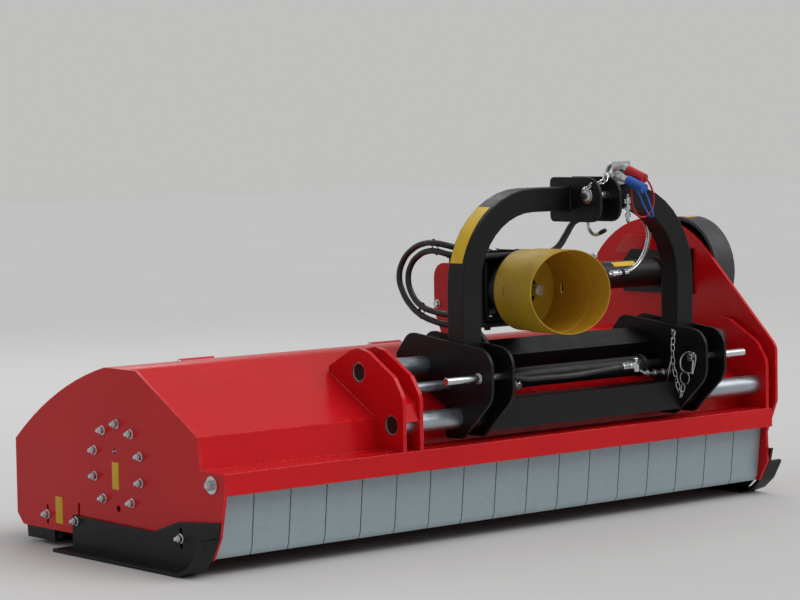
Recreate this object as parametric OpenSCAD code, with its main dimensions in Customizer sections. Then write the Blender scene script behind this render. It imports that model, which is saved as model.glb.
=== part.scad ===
// Flail mower for a tractor's three-point linkage, with a headstock that shifts sideways.
// The machine is drawn in millimetres: X runs from the left end plate's inner face to the
// right, Y from the front beam's face to the rear, and Z up from the ground. at_origin()
// then puts the middle of its footprint over the origin.

/* [Deck] */
// Clear width between the two end plates
deck_w = 2129; // [1950:1:2400]
// Height of the deck's flat top
deck_h = 535; // [525:1:550]
// Thickness of the deck's folded sheet
sheet_t = 6; // [4:0.5:8]
// Thickness of the left end plate
plate_t = 8; // [6:0.5:12]
// Thickness of the tall right wall
wall_t = 10; // [8:0.5:14]
// Foot of the deck's upright front, behind the beam's face
ledge_y = 108; // [104:1:112]
// Bend between the upright front and the slope, behind the beam's face
bend_y = 119; // [114:1:124]
// Height of that bend
bend_z = 373; // [365:1:378]
// Start of the flat top
ridge_y = 406; // [400:1:420]
// Rear end of the flat top, where the curve starts
peak_y = 560; // [545:1:580]
// Line of the rear hood's hinge
hood_y = 625; // [610:1:640]
// Rear of the machine
rear_y = 1037; // [1030:1:1060]
// Height where the hood's curve turns into its rear wall
rear_top_z = 299; // [285:1:315]
// Radius of the hood's curve
hood_r = 1200; // [1000:10:1500]
// Thickness of the hood's sheet
hood_t = 4; // [3:0.5:6]
// Height of the end plates' lower edge
skirt_z = 48; // [42:1:56]

/* [Front beam and flaps] */
// Height of the front beam
beam_h = 60; // [54:1:64]
// Depth of the front beam
beam_d = 40; // [34:1:42]
// Wall of the front beam
beam_wall = 4; // [3:0.5:6]
// Height of the front beam's underside
beam_z = 225; // [220:1:230]
// Number of hinged flaps
flap_count = 17; // [14:1:17]
// Gap between neighbouring flaps
flap_gap = 3; // [2:0.5:5]
// Thickness of a flap
flap_t = 4; // [3:0.5:5]
// Length of a flap from its rod to the bend of its lip
flap_drop = 185; // [170:1:190]
// Length of a flap's turned lip
flap_lip = 20; // [12:1:24]
// Diameter of the flap rod
flap_rod_d = 14; // [12:0.5:16]
// Outside diameter of a flap's knuckle
flap_knuckle_d = 24; // [22:0.5:26]

/* [Belt wall] */
// Radius of the wall's rounded top
wall_arc_r = 337; // [320:1:350]
// Centre of the rounded top, behind the beam's face
wall_arc_y = 520; // [510:1:530]
// Height of that centre
wall_arc_z = 540; // [530:1:550]
// How far the wall stands ahead of the beam
wall_lead = 15; // [8:1:20]
// Height of the wall's chin
wall_chin_z = 309; // [295:1:320]

/* [Guide bars] */
// Diameter of a guide bar
bar_d = 60; // [50:1:62]
// Upper bar, behind the beam's face
upper_bar_y = 195; // [190:1:200]
// Height of the upper bar
upper_bar_z = 498; // [494:1:506]
// Lower bar, behind the beam's face
lower_bar_y = 53; // [50:1:56]
// Height of the lower bar
lower_bar_z = 357; // [352:1:362]
// Outer face of the left slide bracket, from the right wall
bracket_reach = 1519; // [1509:1:1569]
// Width of the left slide bracket
bracket_w = 74; // [60:1:76]
// Thickness of a slide bracket's plates
bracket_t = 12; // [8:0.5:14]
// Top of the slide brackets
bracket_top_z = 567; // [560:1:580]
// Gap between the right slide bracket and the wall
bracket_off = 16; // [10:1:24]

/* [Headstock] */
// Middle of the headstock, from the right wall
head_reach = 795; // [784:1:804]
// Distance between the middles of the two lower clevises
hitch_span = 870; // [860:1:880]
// Width inside a lower clevis
clevis_gap = 70; // [60:1:74]
// Thickness of a clevis plate
clevis_t = 10; // [8:0.5:12]
// Diameter of a lower hitch pin
pin_d = 22; // [20:0.5:28]
// How far the hitch pins lie ahead of the beam's face
pin_lead = 50; // [44:1:56]
// Height of the lower hitch pins
pin_z = 477; // [470:1:484]
// Length of a hitch pin outside its clevis
pin_stub = 128; // [110:1:140]
// Height of the top link pin above the lower pins
mast_h = 503; // [495:1:512]
// Diameter of the top link pin
top_pin_d = 25; // [19:0.5:28]
// Side of the arch's square tube
arch_tube = 70; // [60:1:70]
// Wall of the arch's tube
arch_wall = 8; // [5:0.5:10]
// Front face of the arch, behind the beam's face
arch_y = 28; // [24:1:32]
// Height of the arch
arch_top_z = 1006; // [995:1:1020]
// Outside radius of the arch's bends
arch_r = 280; // [240:1:300]
// Side of a square slide sleeve
sleeve_s = 84; // [78:1:88]

/* [Drive] */
// Power take-off axis, left of the headstock's middle
pto_off = 152; // [148:1:158]
// Height of the power take-off and of the cross shaft
pto_z = 705; // [700:1:712]
// Diameter of the power take-off stub
pto_d = 35; // [32:0.5:38]
// Front end of the stub, behind the beam's face
pto_tip_y = 48; // [40:1:56]
// Cross shaft, behind the beam's face
drive_y = 420; // [414:1:426]
// Diameter of the cross shaft
drive_d = 40; // [35:0.5:45]
// Diameter of the cross shaft's tube
drive_tube_d = 88; // [80:1:96]
// Outside diameter of the shield's base
shield_d = 240; // [230:1:246]
// Wall of the shield
shield_t = 3; // [2:0.5:4]
// Diameter of the pulley on the cross shaft
drive_pulley_d = 260; // [240:1:270]
// Diameter of the pulley on the rotor
rotor_pulley_d = 210; // [190:1:214]
// Number of drive belts
belt_count = 4; // [3:1:4]
// Depth of the belt guard
guard_d = 88; // [86:1:100]

/* [Rotor] */
// Rotor axis, behind the beam's face
rotor_y = 504; // [500:1:510]
// Height of the rotor axis
rotor_z = 262; // [258:1:268]
// Diameter of the rotor tube
rotor_tube_d = 168; // [150:1:170]
// Wall of the rotor tube
rotor_wall = 10; // [8:0.5:14]
// Diameter of the rotor's shaft ends
rotor_shaft_d = 50; // [40:0.5:55]
// Radius that the hammers sweep
swing_r = 225; // [222:1:230]
// Radius of the circle of hammer pins
hammer_pin_r = 129; // [128:1:132]
// Diameter of a hammer pin
hammer_pin_d = 20; // [16:0.5:22]
// Hammers in each of the three rows
row_count = 6; // [5:1:6]
// Radius of the bearing bolts' circle
bearing_bolt_r = 119; // [116:1:122]

/* [Skids and roller] */
// Length of a skid
skid_l = 712; // [690:1:740]
// Height of a skid
skid_h = 154; // [148:1:158]
// Thickness of a skid's plate
skid_t = 10; // [8:0.5:12]
// Width of a skid's sole outside its plate
sole_w = 50; // [40:1:60]
// Diameter of the rear roller
roller_d = 168; // [160:1:170]
// Roller axis, behind the beam's face
roller_y = 930; // [925:1:935]
// Diameter of the roller's shaft ends
roller_shaft_d = 40; // [35:0.5:45]

/* [Hidden] */
$fn = 48;
// Clearances: on the radius of a running fit, on a seated fit, and between moving edges
run_clear = 0.05;
seat_clear = 0.05;
edge_gap = 1;
// Overrun of every cut
over = 2;
// Segments of a rounded corner and of a long arc
corner_steps = 5;
arc_steps = 10;

red = [0.69, 0.05, 0.07];
black = [0.05, 0.05, 0.055];
zinc = [0.68, 0.70, 0.72];
galvanised = [0.55, 0.60, 0.62];
yellow = [0.72, 0.58, 0.12];
grey = [0.24, 0.25, 0.27];

beam_top = beam_z + beam_h;
wall_x = deck_w + wall_t;
bracket_x = deck_w - bracket_reach;
head_x = deck_w - head_reach;
pto_x = head_x - pto_off;
slope = (deck_h - bend_z) / (ridge_y - bend_y);
slope_angle = atan(slope);
function slope_z(y) = bend_z + slope * (y - bend_y);

// Footprint of the machine
machine_left = -(plate_t + skid_t + sole_w);
machine_right = wall_x + guard_d;
shield_reach = 120;
machine_front = -shield_reach;
mid_x = (machine_left + machine_right) / 2;
mid_y = (machine_front + rear_y) / 2;
module at_origin() { translate([-mid_x, -mid_y, 0]) children(); }

// A plate of thickness t whose outline is drawn in Y and Z
module slab(x, t) { translate([x, 0, 0]) rotate([90, 0, 90]) linear_extrude(t) children(); }
// A round bar along X through the point at = [y, z]
module bar_x(x, length, d, at) {
    translate([x, at[0], at[1]]) rotate([0, 90, 0]) cylinder(h = length, d = d);
}
// A round bar along Y through x and z
module bar_y(y, length, d, x, z) {
    translate([x, y, z]) rotate([-90, 0, 0]) cylinder(h = length, d = d);
}

function unit(v) = v / norm(v);
function arc(c, r, a0, a1, n) =
    [for (k = [0 : n]) let (a = a0 + (a1 - a0) * k / n) c + r * [cos(a), sin(a)]];
// The rounded form of corner p between its neighbours a and b
function fillet(a, p, b, r) =
    let (u = unit(a - p), v = unit(b - p), half = acos(u * v) / 2)
    let (c = p + unit(u + v) * r / sin(half))
    let (s = p + u * r / tan(half) - c, e = p + v * r / tan(half) - c)
    let (a0 = atan2(s[1], s[0]), turn = (atan2(e[1], e[0]) - a0 + 540) % 360 - 180)
    arc(c, r, a0, a0 + turn, corner_steps);
// An outline with each corner rounded by its own radius
function rounded(p, radii) =
    let (n = len(p))
    [for (i = [0 : n - 1]) each radii[i] == 0 ? [p[i]]
        : fillet(p[(i + n - 1) % n], p[i], p[(i + 1) % n], radii[i])];
// A folded sheet: a line of outer points, and the same line moved t to its right
function side(a, b) = let (u = unit(b - a)) [u[1], -u[0]];
function moved(p, i, t) =
    let (n = len(p) - 1)
    let (before = side(p[max(i - 1, 0)], p[max(i, 1)]), after = side(p[min(i, n - 1)], p[min(i + 1, n)]))
    p[i] + t * (before + after) / (1 + before * after);
function folded(p, t) = concat(p, [for (i = [len(p) - 1 : -1 : 0]) moved(p, i, t)]);

// Curve of the rear hood
hood_chord = [rear_y - peak_y, rear_top_z - deck_h];
hood_across = unit(hood_chord);
hood_centre = ([peak_y, deck_h] + [rear_y, rear_top_z]) / 2
    + sqrt(pow(hood_r, 2) - pow(norm(hood_chord) / 2, 2)) * [hood_across[1], -hood_across[0]];
function hood_z(y) = hood_centre[1] + sqrt(pow(hood_r, 2) - pow(y - hood_centre[0], 2));
function hood_curve(from, to) =
    [for (k = [0 : arc_steps]) let (y = from + (to - from) * k / arc_steps) [y, hood_z(y)]];

// Outlines of the two end plates
toe = [24, 113];
heel_y = 60;
rear_cut = 32;
function backwards(p) = [for (i = [len(p) - 1 : -1 : 0]) p[i]];
lower_edge = [[rear_y, skirt_z + rear_cut], [rear_y - rear_cut, skirt_z], [heel_y, skirt_z], toe];
left_outline = concat(hood_curve(peak_y, rear_y), lower_edge, [[0, beam_z], [0, beam_top],
    [ledge_y, beam_top], [bend_y, bend_z], [ridge_y, deck_h]]);
wall_start = 135;
wall_end = -4;
wall_foot_y = 905;
wall_nose_r = 45;
wall_throat = [28, 205];
wall_tangent = [wall_arc_y, wall_arc_z] + wall_arc_r * [cos(wall_start), sin(wall_start)];
wall_nose = [-wall_lead, wall_tangent[1] - wall_tangent[0] - wall_lead];
wall_chin = [-wall_lead, wall_chin_z];
wall_outline = concat(arc([wall_arc_y, wall_arc_z], wall_arc_r, wall_start, wall_end, 2 * arc_steps),
    hood_curve(wall_foot_y, rear_y), lower_edge, [wall_throat, wall_chin],
    fillet(wall_chin, wall_nose, wall_tangent, wall_nose_r));

// Bolts
bolt_d = 12;
bolt_af = 19;
bolt_head_h = 9;
washer_d = 27;
washer_t = 3;
// A bolt head and washer on the face at x, facing dir, with its shank behind the face
module bolt(x, dir, at, shank) {
    translate([x, at[0], at[1]]) rotate([0, dir * 90, 0]) {
        cylinder(h = washer_t, d = washer_d);
        translate([0, 0, washer_t]) cylinder(h = bolt_head_h, d = bolt_af / cos(30), $fn = 6);
        translate([0, 0, -shank]) cylinder(h = shank + washer_t, d = bolt_d);
    }
}
module bolt_hole(x, length, at) { bar_x(x - over, length + 2 * over, bolt_d + 2 * seat_clear, at); }
bearing_holes = 10;
bearing_turn = 360 / bearing_holes;
function bearing_at(i) = [rotor_y, rotor_z] + bearing_bolt_r * [sin(i * bearing_turn), cos(i * bearing_turn)];
vacant_hole = 5;

// Deck
hinge_d = 8;
knuckle_d = 16;
knuckle_w = 60;
knuckle_gap = 0.6;
leaf_l = 45;
leaf_t = 3;
hinge_count = 3;
hinge_at = [hood_y, hood_z(hood_y) + knuckle_d / 2 + knuckle_gap];
function hinge_x(i) = deck_w * (i + 0.5) / hinge_count;
module knuckle(x) {
    difference() {
        union() {
            bar_x(x, knuckle_w, knuckle_d, hinge_at);
            slab(x, knuckle_w) children();
        }
        bar_x(x - over, knuckle_w + 2 * over, hinge_d + 2 * run_clear, hinge_at);
    }
}
module leaf(from, to) {
    polygon([[from, hood_z(from)], [to, hood_z(to)],
        [to, hood_z(to) + leaf_t], [from, hood_z(from) + leaf_t]]);
}
module deck_shell() {
    color(red) at_origin() {
        slab(0, deck_w) polygon(folded(concat([[beam_d, beam_top], [ledge_y, beam_top], [bend_y, bend_z],
            [ridge_y, deck_h]], hood_curve(peak_y, hood_y - edge_gap)), sheet_t));
        for (i = [0 : hinge_count - 1])
            knuckle(hinge_x(i) - knuckle_w - edge_gap) leaf(hood_y - leaf_l, hood_y);
    }
}
grease_hole_d = 16;
grease_hole = [516, 303];
vacant_d = 20;
slot_h = 46;
skid_front_bolt = [190, 95];
skid_rear_bolt = [706, 88];
skid_slot = skid_rear_bolt + [0, slot_h / 2];
roller_bolt = [872, 91];
module left_end_plate() {
    color(red) at_origin() difference() {
        slab(-plate_t, plate_t) polygon(left_outline);
        for (i = [0 : bearing_holes - 1]) bolt_hole(-plate_t, plate_t, bearing_at(i));
        bolt_hole(-plate_t, plate_t, skid_front_bolt);
        for (at = [skid_slot, roller_bolt]) bolt_slot(-plate_t, plate_t, at);
        bar_x(-plate_t - over, plate_t + 2 * over, vacant_d, bearing_at(vacant_hole));
        bar_x(-plate_t - over, plate_t + 2 * over, grease_hole_d, grease_hole);
        bar_x(-plate_t - over, plate_t + 2 * over, flap_rod_d + 2 * seat_clear, flap_rod_at);
    }
}
shaft_hole_clear = 5;
module right_end_plate() {
    color(red) at_origin() difference() {
        slab(deck_w, wall_t) polygon(wall_outline);
        for (i = [0 : bearing_holes - 1]) bolt_hole(deck_w, wall_t, bearing_at(i));
        bolt_hole(deck_w, wall_t, skid_front_bolt);
        for (at = [skid_slot, roller_bolt]) bolt_slot(deck_w, wall_t, at);
        bar_x(deck_w - over, wall_t + 2 * over, rotor_shaft_d + 2 * shaft_hole_clear, [rotor_y, rotor_z]);
        bar_x(deck_w - over, wall_t + 2 * over, drive_d + 2 * shaft_hole_clear, [drive_y, pto_z]);
    }
}
module front_beam() {
    color(red) at_origin() difference() {
        translate([0, 0, beam_z]) cube([deck_w, beam_d, beam_h]);
        translate([-over, beam_wall, beam_z + beam_wall])
            cube([deck_w + 2 * over, beam_d - 2 * beam_wall, beam_h - 2 * beam_wall]);
    }
}
module hood_hinge_pins() {
    color(zinc) at_origin() for (i = [0 : hinge_count - 1]) {
        bar_x(hinge_x(i) - knuckle_w - edge_gap, 2 * knuckle_w + 2 * edge_gap, hinge_d, hinge_at);
        bar_x(hinge_x(i) - knuckle_w - edge_gap - leaf_t, leaf_t, knuckle_d - 2 * edge_gap, hinge_at);
    }
}
hood_low_z = skirt_z + rear_cut;
module rear_hood() {
    color(red) at_origin() {
        slab(edge_gap, deck_w - 2 * edge_gap)
            polygon(folded(concat(hood_curve(hood_y + edge_gap, rear_y), [[rear_y, hood_low_z]]), hood_t));
        for (i = [0 : hinge_count - 1]) knuckle(hinge_x(i)) leaf(hood_y, hood_y + leaf_l);
    }
}

// Slide brackets and guide bars
upper_at = [upper_bar_y, upper_bar_z];
lower_at = [lower_bar_y, lower_bar_z];
bracket_back_y = 330;
bracket_boss_d = bar_d + 2 * bracket_t;
// Brow, shoulder and back of the plate, as shares of its depth and height
bracket_h = bracket_top_z - beam_top;
bracket_shares = [[0, 0.54], [0.12, 0.74], [0.46, 0.97], [0.59, 1], [0.7, 0.97], [1, 0.79]];
bracket_radii = [60, 40, 40, 0, 40, 10];
bracket_outline = concat([[0, beam_top]],
    rounded(concat([[0, beam_top]], [for (s = bracket_shares)
        [s[0] * bracket_back_y, beam_top + s[1] * bracket_h]], [[bracket_back_y, slope_z(bracket_back_y)]]),
        concat([0], bracket_radii, [0])),
    [[bend_y, bend_z], [ledge_y, beam_top]]);
web_inset = 4;
web_t = 8;
web_shares = [[0, 0.295], [0.045, 0.46], [0.25, 0.66], [0.5, 0.86]];
module slide_brackets() {
    inner_x = bracket_x + bracket_w - bracket_t;
    right_x = deck_w - bracket_off - bracket_t;
    color(red) at_origin() difference() {
        union() {
            for (x = [bracket_x, inner_x, right_x]) slab(x, bracket_t) polygon(bracket_outline);
            slab(bracket_x + bracket_t, bracket_w - 2 * bracket_t)
                polygon(folded([for (s = web_shares)
                    [web_inset + s[0] * bracket_back_y, beam_top + s[1] * bracket_h]], web_t));
            for (at = [upper_at, lower_at])
                bar_x(right_x + bracket_t / 2, bracket_off + bracket_t / 2, bracket_boss_d, at);
        }
        for (at = [upper_at, lower_at]) bar_x(bracket_x - over, deck_w, bar_d + 2 * seat_clear, at);
        bar_x(inner_x - over, bracket_t + 2 * over, rod_d + 2 * seat_clear, rod_at);
    }
}
bar_recess = 3;
bar_bore_share = 0.8;
bar_bore_l = 40;
module guide_bars() {
    start = bracket_x + bar_recess;
    color(zinc) at_origin() for (at = [upper_at, lower_at]) difference() {
        bar_x(start, deck_w - start, bar_d, at);
        bar_x(start - over, bar_bore_l + over, bar_bore_share * bar_d, at);
    }
}

// Skids: the corners of the plate, as shares of its length and height
skid_y = 15;
sole_t = 10;
sole_back = 28;
skid_shares = [[0, 1], [0.27, 0.89], [0.438, 0.636], [1, 0.67], [1, 0], [0.18, 0], [0.014, 0.72]];
sole_shares = [[0.18, 0], [0.115, 0.11], [0.06, 0.33], [0.014, 0.7]];
function skid_point(s) = [skid_y + s[0] * skid_l, s[1] * skid_h];
module bolt_slot(x, length, at) {
    bolt_hole(x, length, at + [0, slot_h / 2]);
    bolt_hole(x, length, at - [0, slot_h / 2]);
    translate([x - over, at[0] - bolt_d / 2 - seat_clear, at[1] - slot_h / 2])
        cube([length + 2 * over, bolt_d + 2 * seat_clear, slot_h]);
}
module skid(plate_x, sole_x) {
    difference() {
        union() {
            slab(plate_x, skid_t) polygon([for (s = skid_shares) skid_point(s)]);
            slab(sole_x, sole_w + skid_t) polygon(folded(
                concat([[skid_y + skid_l + sole_back, 0]], [for (s = sole_shares) skid_point(s)]), sole_t));
        }
        bolt_slot(plate_x, skid_t, skid_front_bolt);
        bolt_hole(plate_x, skid_t, skid_rear_bolt);
    }
}
module left_skid() { color(black) at_origin() skid(-plate_t - skid_t, -plate_t - skid_t - sole_w); }
module right_skid() { color(black) at_origin() skid(wall_x, wall_x); }
flange_t = 16;
bracket_plate_t = 12;
module deck_bolts() {
    color(zinc) at_origin() {
        for (i = [0 : bearing_holes - 1]) if (i != vacant_hole) {
            bolt(-plate_t, -1, bearing_at(i), plate_t + flange_t);
            bolt(wall_x, 1, bearing_at(i), wall_t + flange_t);
        }
        for (at = [skid_front_bolt, skid_rear_bolt]) {
            bolt(-plate_t - skid_t, -1, at, plate_t + skid_t);
            bolt(wall_x + skid_t, 1, at, wall_t + skid_t);
        }
        bolt(-plate_t, -1, roller_bolt, plate_t + bracket_plate_t);
        bolt(wall_x, 1, roller_bolt, wall_t + bracket_plate_t);
        gearbox_bolts();
    }
}

// Flap curtain
rod_gap = 5;
flap_rod_z = 251;
flap_rod_at = [beam_d + rod_gap + flap_knuckle_d / 2, flap_rod_z];
flap_lean = 6;
lip_angle = 22;
flap_pitch = deck_w / flap_count;
rod_head_d = 24;
rod_head_t = 12;
module flap_rod() {
    color(zinc) at_origin() {
        bar_x(-plate_t, plate_t + deck_w, flap_rod_d, flap_rod_at);
        bar_x(-plate_t - washer_t, washer_t, washer_d, flap_rod_at);
        bar_x(-plate_t - washer_t - rod_head_t, rod_head_t, rod_head_d / cos(30), flap_rod_at, $fn = 6);
    }
}
module flap(i) {
    w = flap_pitch - flap_gap;
    front = -flap_knuckle_d / 2;
    foot = [front + flap_lip * sin(lip_angle), -flap_drop - flap_lip * cos(lip_angle)];
    color(galvanised) at_origin()
        translate([flap_pitch * (i - 1) + flap_gap / 2, flap_rod_at[0], flap_rod_at[1]])
            rotate([flap_lean, 0, 0]) difference() {
                union() {
                    slab(0, w) polygon(folded([foot, [front, -flap_drop], [front, 0]], flap_t));
                    bar_x(0, w, flap_knuckle_d, [0, 0]);
                }
                bar_x(-over, w + 2 * over, flap_rod_d + 2 * run_clear, [0, 0]);
            }
}

// Rotor, its bearings and hammers
rotor_at = [rotor_y, rotor_z];
flange_d = 280;
hub_d = 116;
hub_l = 56;
hub_gap = 12;
rotor_in = flange_t + hub_l + hub_gap;
module rotor_bearings() {
    color(black) at_origin() difference() {
        for (left = [true, false]) union() {
            bar_x(left ? 0 : deck_w - flange_t, flange_t, flange_d, rotor_at);
            bar_x(left ? flange_t : deck_w - flange_t - hub_l, hub_l, hub_d, rotor_at);
        }
        for (x = [0, deck_w - flange_t - hub_l])
            bar_x(x - over, flange_t + hub_l + 2 * over, rotor_shaft_d + 2 * run_clear, rotor_at);
        for (x = [0, deck_w - flange_t], i = [0 : bearing_holes - 1]) bolt_hole(x, flange_t, bearing_at(i));
    }
}
rows = 3;
row_turn = 360 / rows;
hammer_pitch = (deck_w - 2 * rotor_in) / (rows * row_count);
function row_angle(row) = -90 + row * row_turn;
function hammer_x(row, k) = rotor_in + hammer_pitch * (row + rows * k + 0.5);
eye_w = 50;
eye_d = 44;
lug_t = 11;
lug_w = 46;
lug_gap = 0.5;
shaft_in = 4;
vent_d = 20;
vent_r = 55;
pulley_off = 14;
pulley_x = wall_x + pulley_off;
belt_pitch = 16;
pulley_w = belt_pitch * belt_count;
shaft_out = pulley_x + pulley_w;
module rotor() {
    color(black) at_origin() translate([0, rotor_y, rotor_z]) {
        difference() {
            bar_x(rotor_in, deck_w - 2 * rotor_in, rotor_tube_d, [0, 0]);
            bar_x(rotor_in + rotor_wall, deck_w - 2 * rotor_in - 2 * rotor_wall,
                rotor_tube_d - 2 * rotor_wall, [0, 0]);
            bar_x(rotor_in - over, rotor_wall + 2 * over, vent_d, [0, vent_r]);
        }
        bar_x(shaft_in, rotor_in + rotor_wall - shaft_in, rotor_shaft_d, [0, 0]);
        bar_x(deck_w - rotor_in - rotor_wall, shaft_out - deck_w + rotor_in + rotor_wall,
            rotor_shaft_d, [0, 0]);
        for (row = [0 : rows - 1], k = [0 : row_count - 1])
            translate([hammer_x(row, k), 0, 0]) rotate([row_angle(row), 0, 0]) {
                for (x = [-eye_w / 2 - lug_gap - lug_t, eye_w / 2 + lug_gap]) {
                    bar_x(x, lug_t, lug_w, [hammer_pin_r, 0]);
                    translate([x, rotor_tube_d / 2 - rotor_wall, -lug_w / 2])
                        cube([lug_t, hammer_pin_r - rotor_tube_d / 2 + rotor_wall, lug_w]);
                }
                bar_x(-eye_w / 2 - lug_gap - lug_t, eye_w + 2 * lug_gap + 2 * lug_t,
                    hammer_pin_d, [hammer_pin_r, 0]);
            }
    }
}
hammer_t = 26;
hammer_w = 100;
head_start = 58;
edge_cut = 14;
module hammer_row(row) {
    reach = swing_r - hammer_pin_r;
    color(grey) at_origin() for (k = [0 : row_count - 1])
        translate([hammer_x(row, k), rotor_y + hammer_pin_r * cos(row_angle(row)),
            rotor_z + hammer_pin_r * sin(row_angle(row))]) difference() {
                union() {
                    bar_x(-eye_w / 2, eye_w, eye_d, [0, 0]);
                    translate([-eye_w / 2, -hammer_t / 2, -reach]) cube([eye_w, hammer_t, reach]);
                    translate([-hammer_w / 2, 0, 0]) slab(0, hammer_w)
                        polygon([[-hammer_t / 2, -head_start], [hammer_t / 2, -head_start],
                            [hammer_t / 2, edge_cut - reach], [0, -reach],
                            [-hammer_t / 2, edge_cut - reach]]);
                }
                bar_x(-hammer_w / 2, hammer_w, hammer_pin_d + 2 * run_clear, [0, 0]);
                for (way = [-1, 1]) slab(-hammer_w, 2 * hammer_w)
                    polygon([[0, -reach], [way * hammer_t, -reach], [way * hammer_t, 2 * edge_cut - reach]]);
            }
}

// Belt drive
groove_top = 15;
groove_foot = 11;
groove_h = 12;
belt_w = 9;
belt_h = 13;
belt_clear = 0.9;
function belt_x(i) = belt_pitch * (i + 0.5);
module pulley(d, bore, at) {
    translate([pulley_x, at[0], at[1]]) rotate([0, 90, 0]) rotate_extrude($fn = 96)
        polygon(concat([[bore / 2 + seat_clear, 0], [d / 2, 0]],
            [for (i = [0 : belt_count - 1]) each [[d / 2, belt_x(i) - groove_top / 2],
                [d / 2 - groove_h, belt_x(i) - groove_foot / 2],
                [d / 2 - groove_h, belt_x(i) + groove_foot / 2], [d / 2, belt_x(i) + groove_top / 2]]],
            [[d / 2, pulley_w], [bore / 2 + seat_clear, pulley_w]]));
}
drive_at = [drive_y, pto_z];
module rotor_pulley() { color(grey) at_origin() pulley(rotor_pulley_d, rotor_shaft_d, rotor_at); }
module drive_pulley() { color(grey) at_origin() pulley(drive_pulley_d, drive_d, drive_at); }
// The line of a belt round both pulleys, moved outwards
belt_way = drive_at - rotor_at;
belt_angle = atan2(belt_way[1], belt_way[0]);
belt_wrap = acos((rotor_pulley_d - drive_pulley_d) / 2 / norm(belt_way));
module loop(grow) {
    polygon(concat(
        arc(drive_at, drive_pulley_d / 2 + grow, belt_angle - belt_wrap, belt_angle + belt_wrap,
            3 * arc_steps),
        arc(rotor_at, rotor_pulley_d / 2 + grow, belt_angle + belt_wrap, belt_angle + 360 - belt_wrap,
            3 * arc_steps)));
}
module drive_belts() {
    color(black) at_origin() for (i = [0 : belt_count - 1])
        slab(pulley_x + belt_x(i) - belt_w / 2, belt_w) difference() {
            loop(belt_clear - groove_h + belt_h);
            loop(belt_clear - groove_h);
        }
}
guard_t = 3;
guard_room = 45;
guard_window = 34;
module belt_guard() {
    color(grey) at_origin() difference() {
        slab(wall_x, guard_d) loop(guard_room);
        slab(wall_x + guard_t, guard_d - 2 * guard_t) loop(guard_room - guard_t);
        slab(wall_x - over, guard_t + 2 * over) loop(guard_window);
    }
}

// Gearbox, power take-off and cross shaft
gear_w = 190;
gear_front_y = 196;
gear_back_y = 345;
gear_low_z = 594;
gear_high_z = 810;
lid_t = 14;
lid_lip = 10;
cap_d = 220;
cap_t = 22;
cap_y = 118;
neck_d = 170;
bevel_d = 136;
bevel_off = 30;
tail_y = 400;
tail_h = 110;
boss_d = 120;
boss_l = 20;
pto_in = 120;
drive_in = 16;
module gearbox_housing() {
    right_x = pto_x + gear_w / 2;
    color(black) at_origin() difference() {
        union() {
            bar_y(cap_y, cap_t, cap_d, pto_x, pto_z);
            bar_y(cap_y, gear_front_y - cap_y + over, neck_d, pto_x, pto_z);
            translate([pto_x - gear_w / 2, gear_front_y, gear_low_z])
                cube([gear_w, gear_back_y - gear_front_y, gear_high_z - gear_low_z]);
            for (z = [gear_low_z, gear_high_z - lid_t])
                translate([pto_x - gear_w / 2, gear_front_y - lid_lip, z])
                    cube([gear_w, gear_back_y - gear_front_y + 2 * lid_lip, lid_t]);
            translate([pto_x - gear_w / 2, gear_back_y - over, pto_z - tail_h / 2])
                cube([gear_w, tail_y - gear_back_y + over, tail_h]);
            bar_x(pto_x - bevel_off, gear_w / 2 + bevel_off, bevel_d, drive_at);
            bar_x(right_x - over, boss_l + over, boss_d, drive_at);
        }
        bar_y(cap_y - over, gear_front_y - cap_y + pto_in + over, pto_neck_d + 2 * run_clear, pto_x, pto_z);
        bar_x(pto_x - drive_in, gear_w, drive_d + 2 * run_clear, drive_at);
    }
}
stand_t = 10;
stand_front_y = 268;
stand_back_y = 404;
stand_top_z = 782;
stand_waist_z = 636;
stand_foot_y = 340;
stand_r = 45;
module gearbox_stand() {
    color(red) at_origin() slab(pto_x - gear_w / 2 - stand_t, stand_t)
        polygon(rounded([[stand_front_y, slope_z(stand_front_y)], [stand_front_y, stand_top_z],
            [stand_back_y, stand_top_z], [stand_back_y, stand_waist_z],
            [stand_foot_y, slope_z(stand_foot_y)]], [0, stand_r, stand_r, stand_r, 0]));
}
gear_bolt_in = 32;
gear_bolt_rows = [gear_front_y + gear_bolt_in / 2, gear_back_y - gear_bolt_in];
module gearbox_bolts() {
    side_x = pto_x - gear_w / 2 - stand_t;
    for (way = [-1, 1], y = gear_bolt_rows, z = [gear_high_z, gear_low_z - bolt_head_h])
        translate([pto_x + way * (gear_w / 2 - gear_bolt_in), y, z])
            cylinder(h = bolt_head_h, d = bolt_af / cos(30), $fn = 6);
    for (z = [gear_low_z + gear_bolt_in, stand_top_z - gear_bolt_in])
        bolt(side_x, -1, [stand_front_y + gear_bolt_in, z], 0);
    bolt(side_x, -1, [stand_back_y - gear_bolt_in / 2, gear_low_z + 2 * gear_bolt_in], 0);
}
tube_x = pto_x + gear_w / 2 + boss_l;
tube_bore = 70;
seat_l = 40;
collar_d = 104;
collar_l = 90;
slide_plate_t = 14;
slide_ahead = 84;
slide_behind = 225;
slide_half = 74;
slide_cut = 46;
breather_d = 18;
breather_h = 24;
breather_share = 0.56;
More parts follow.
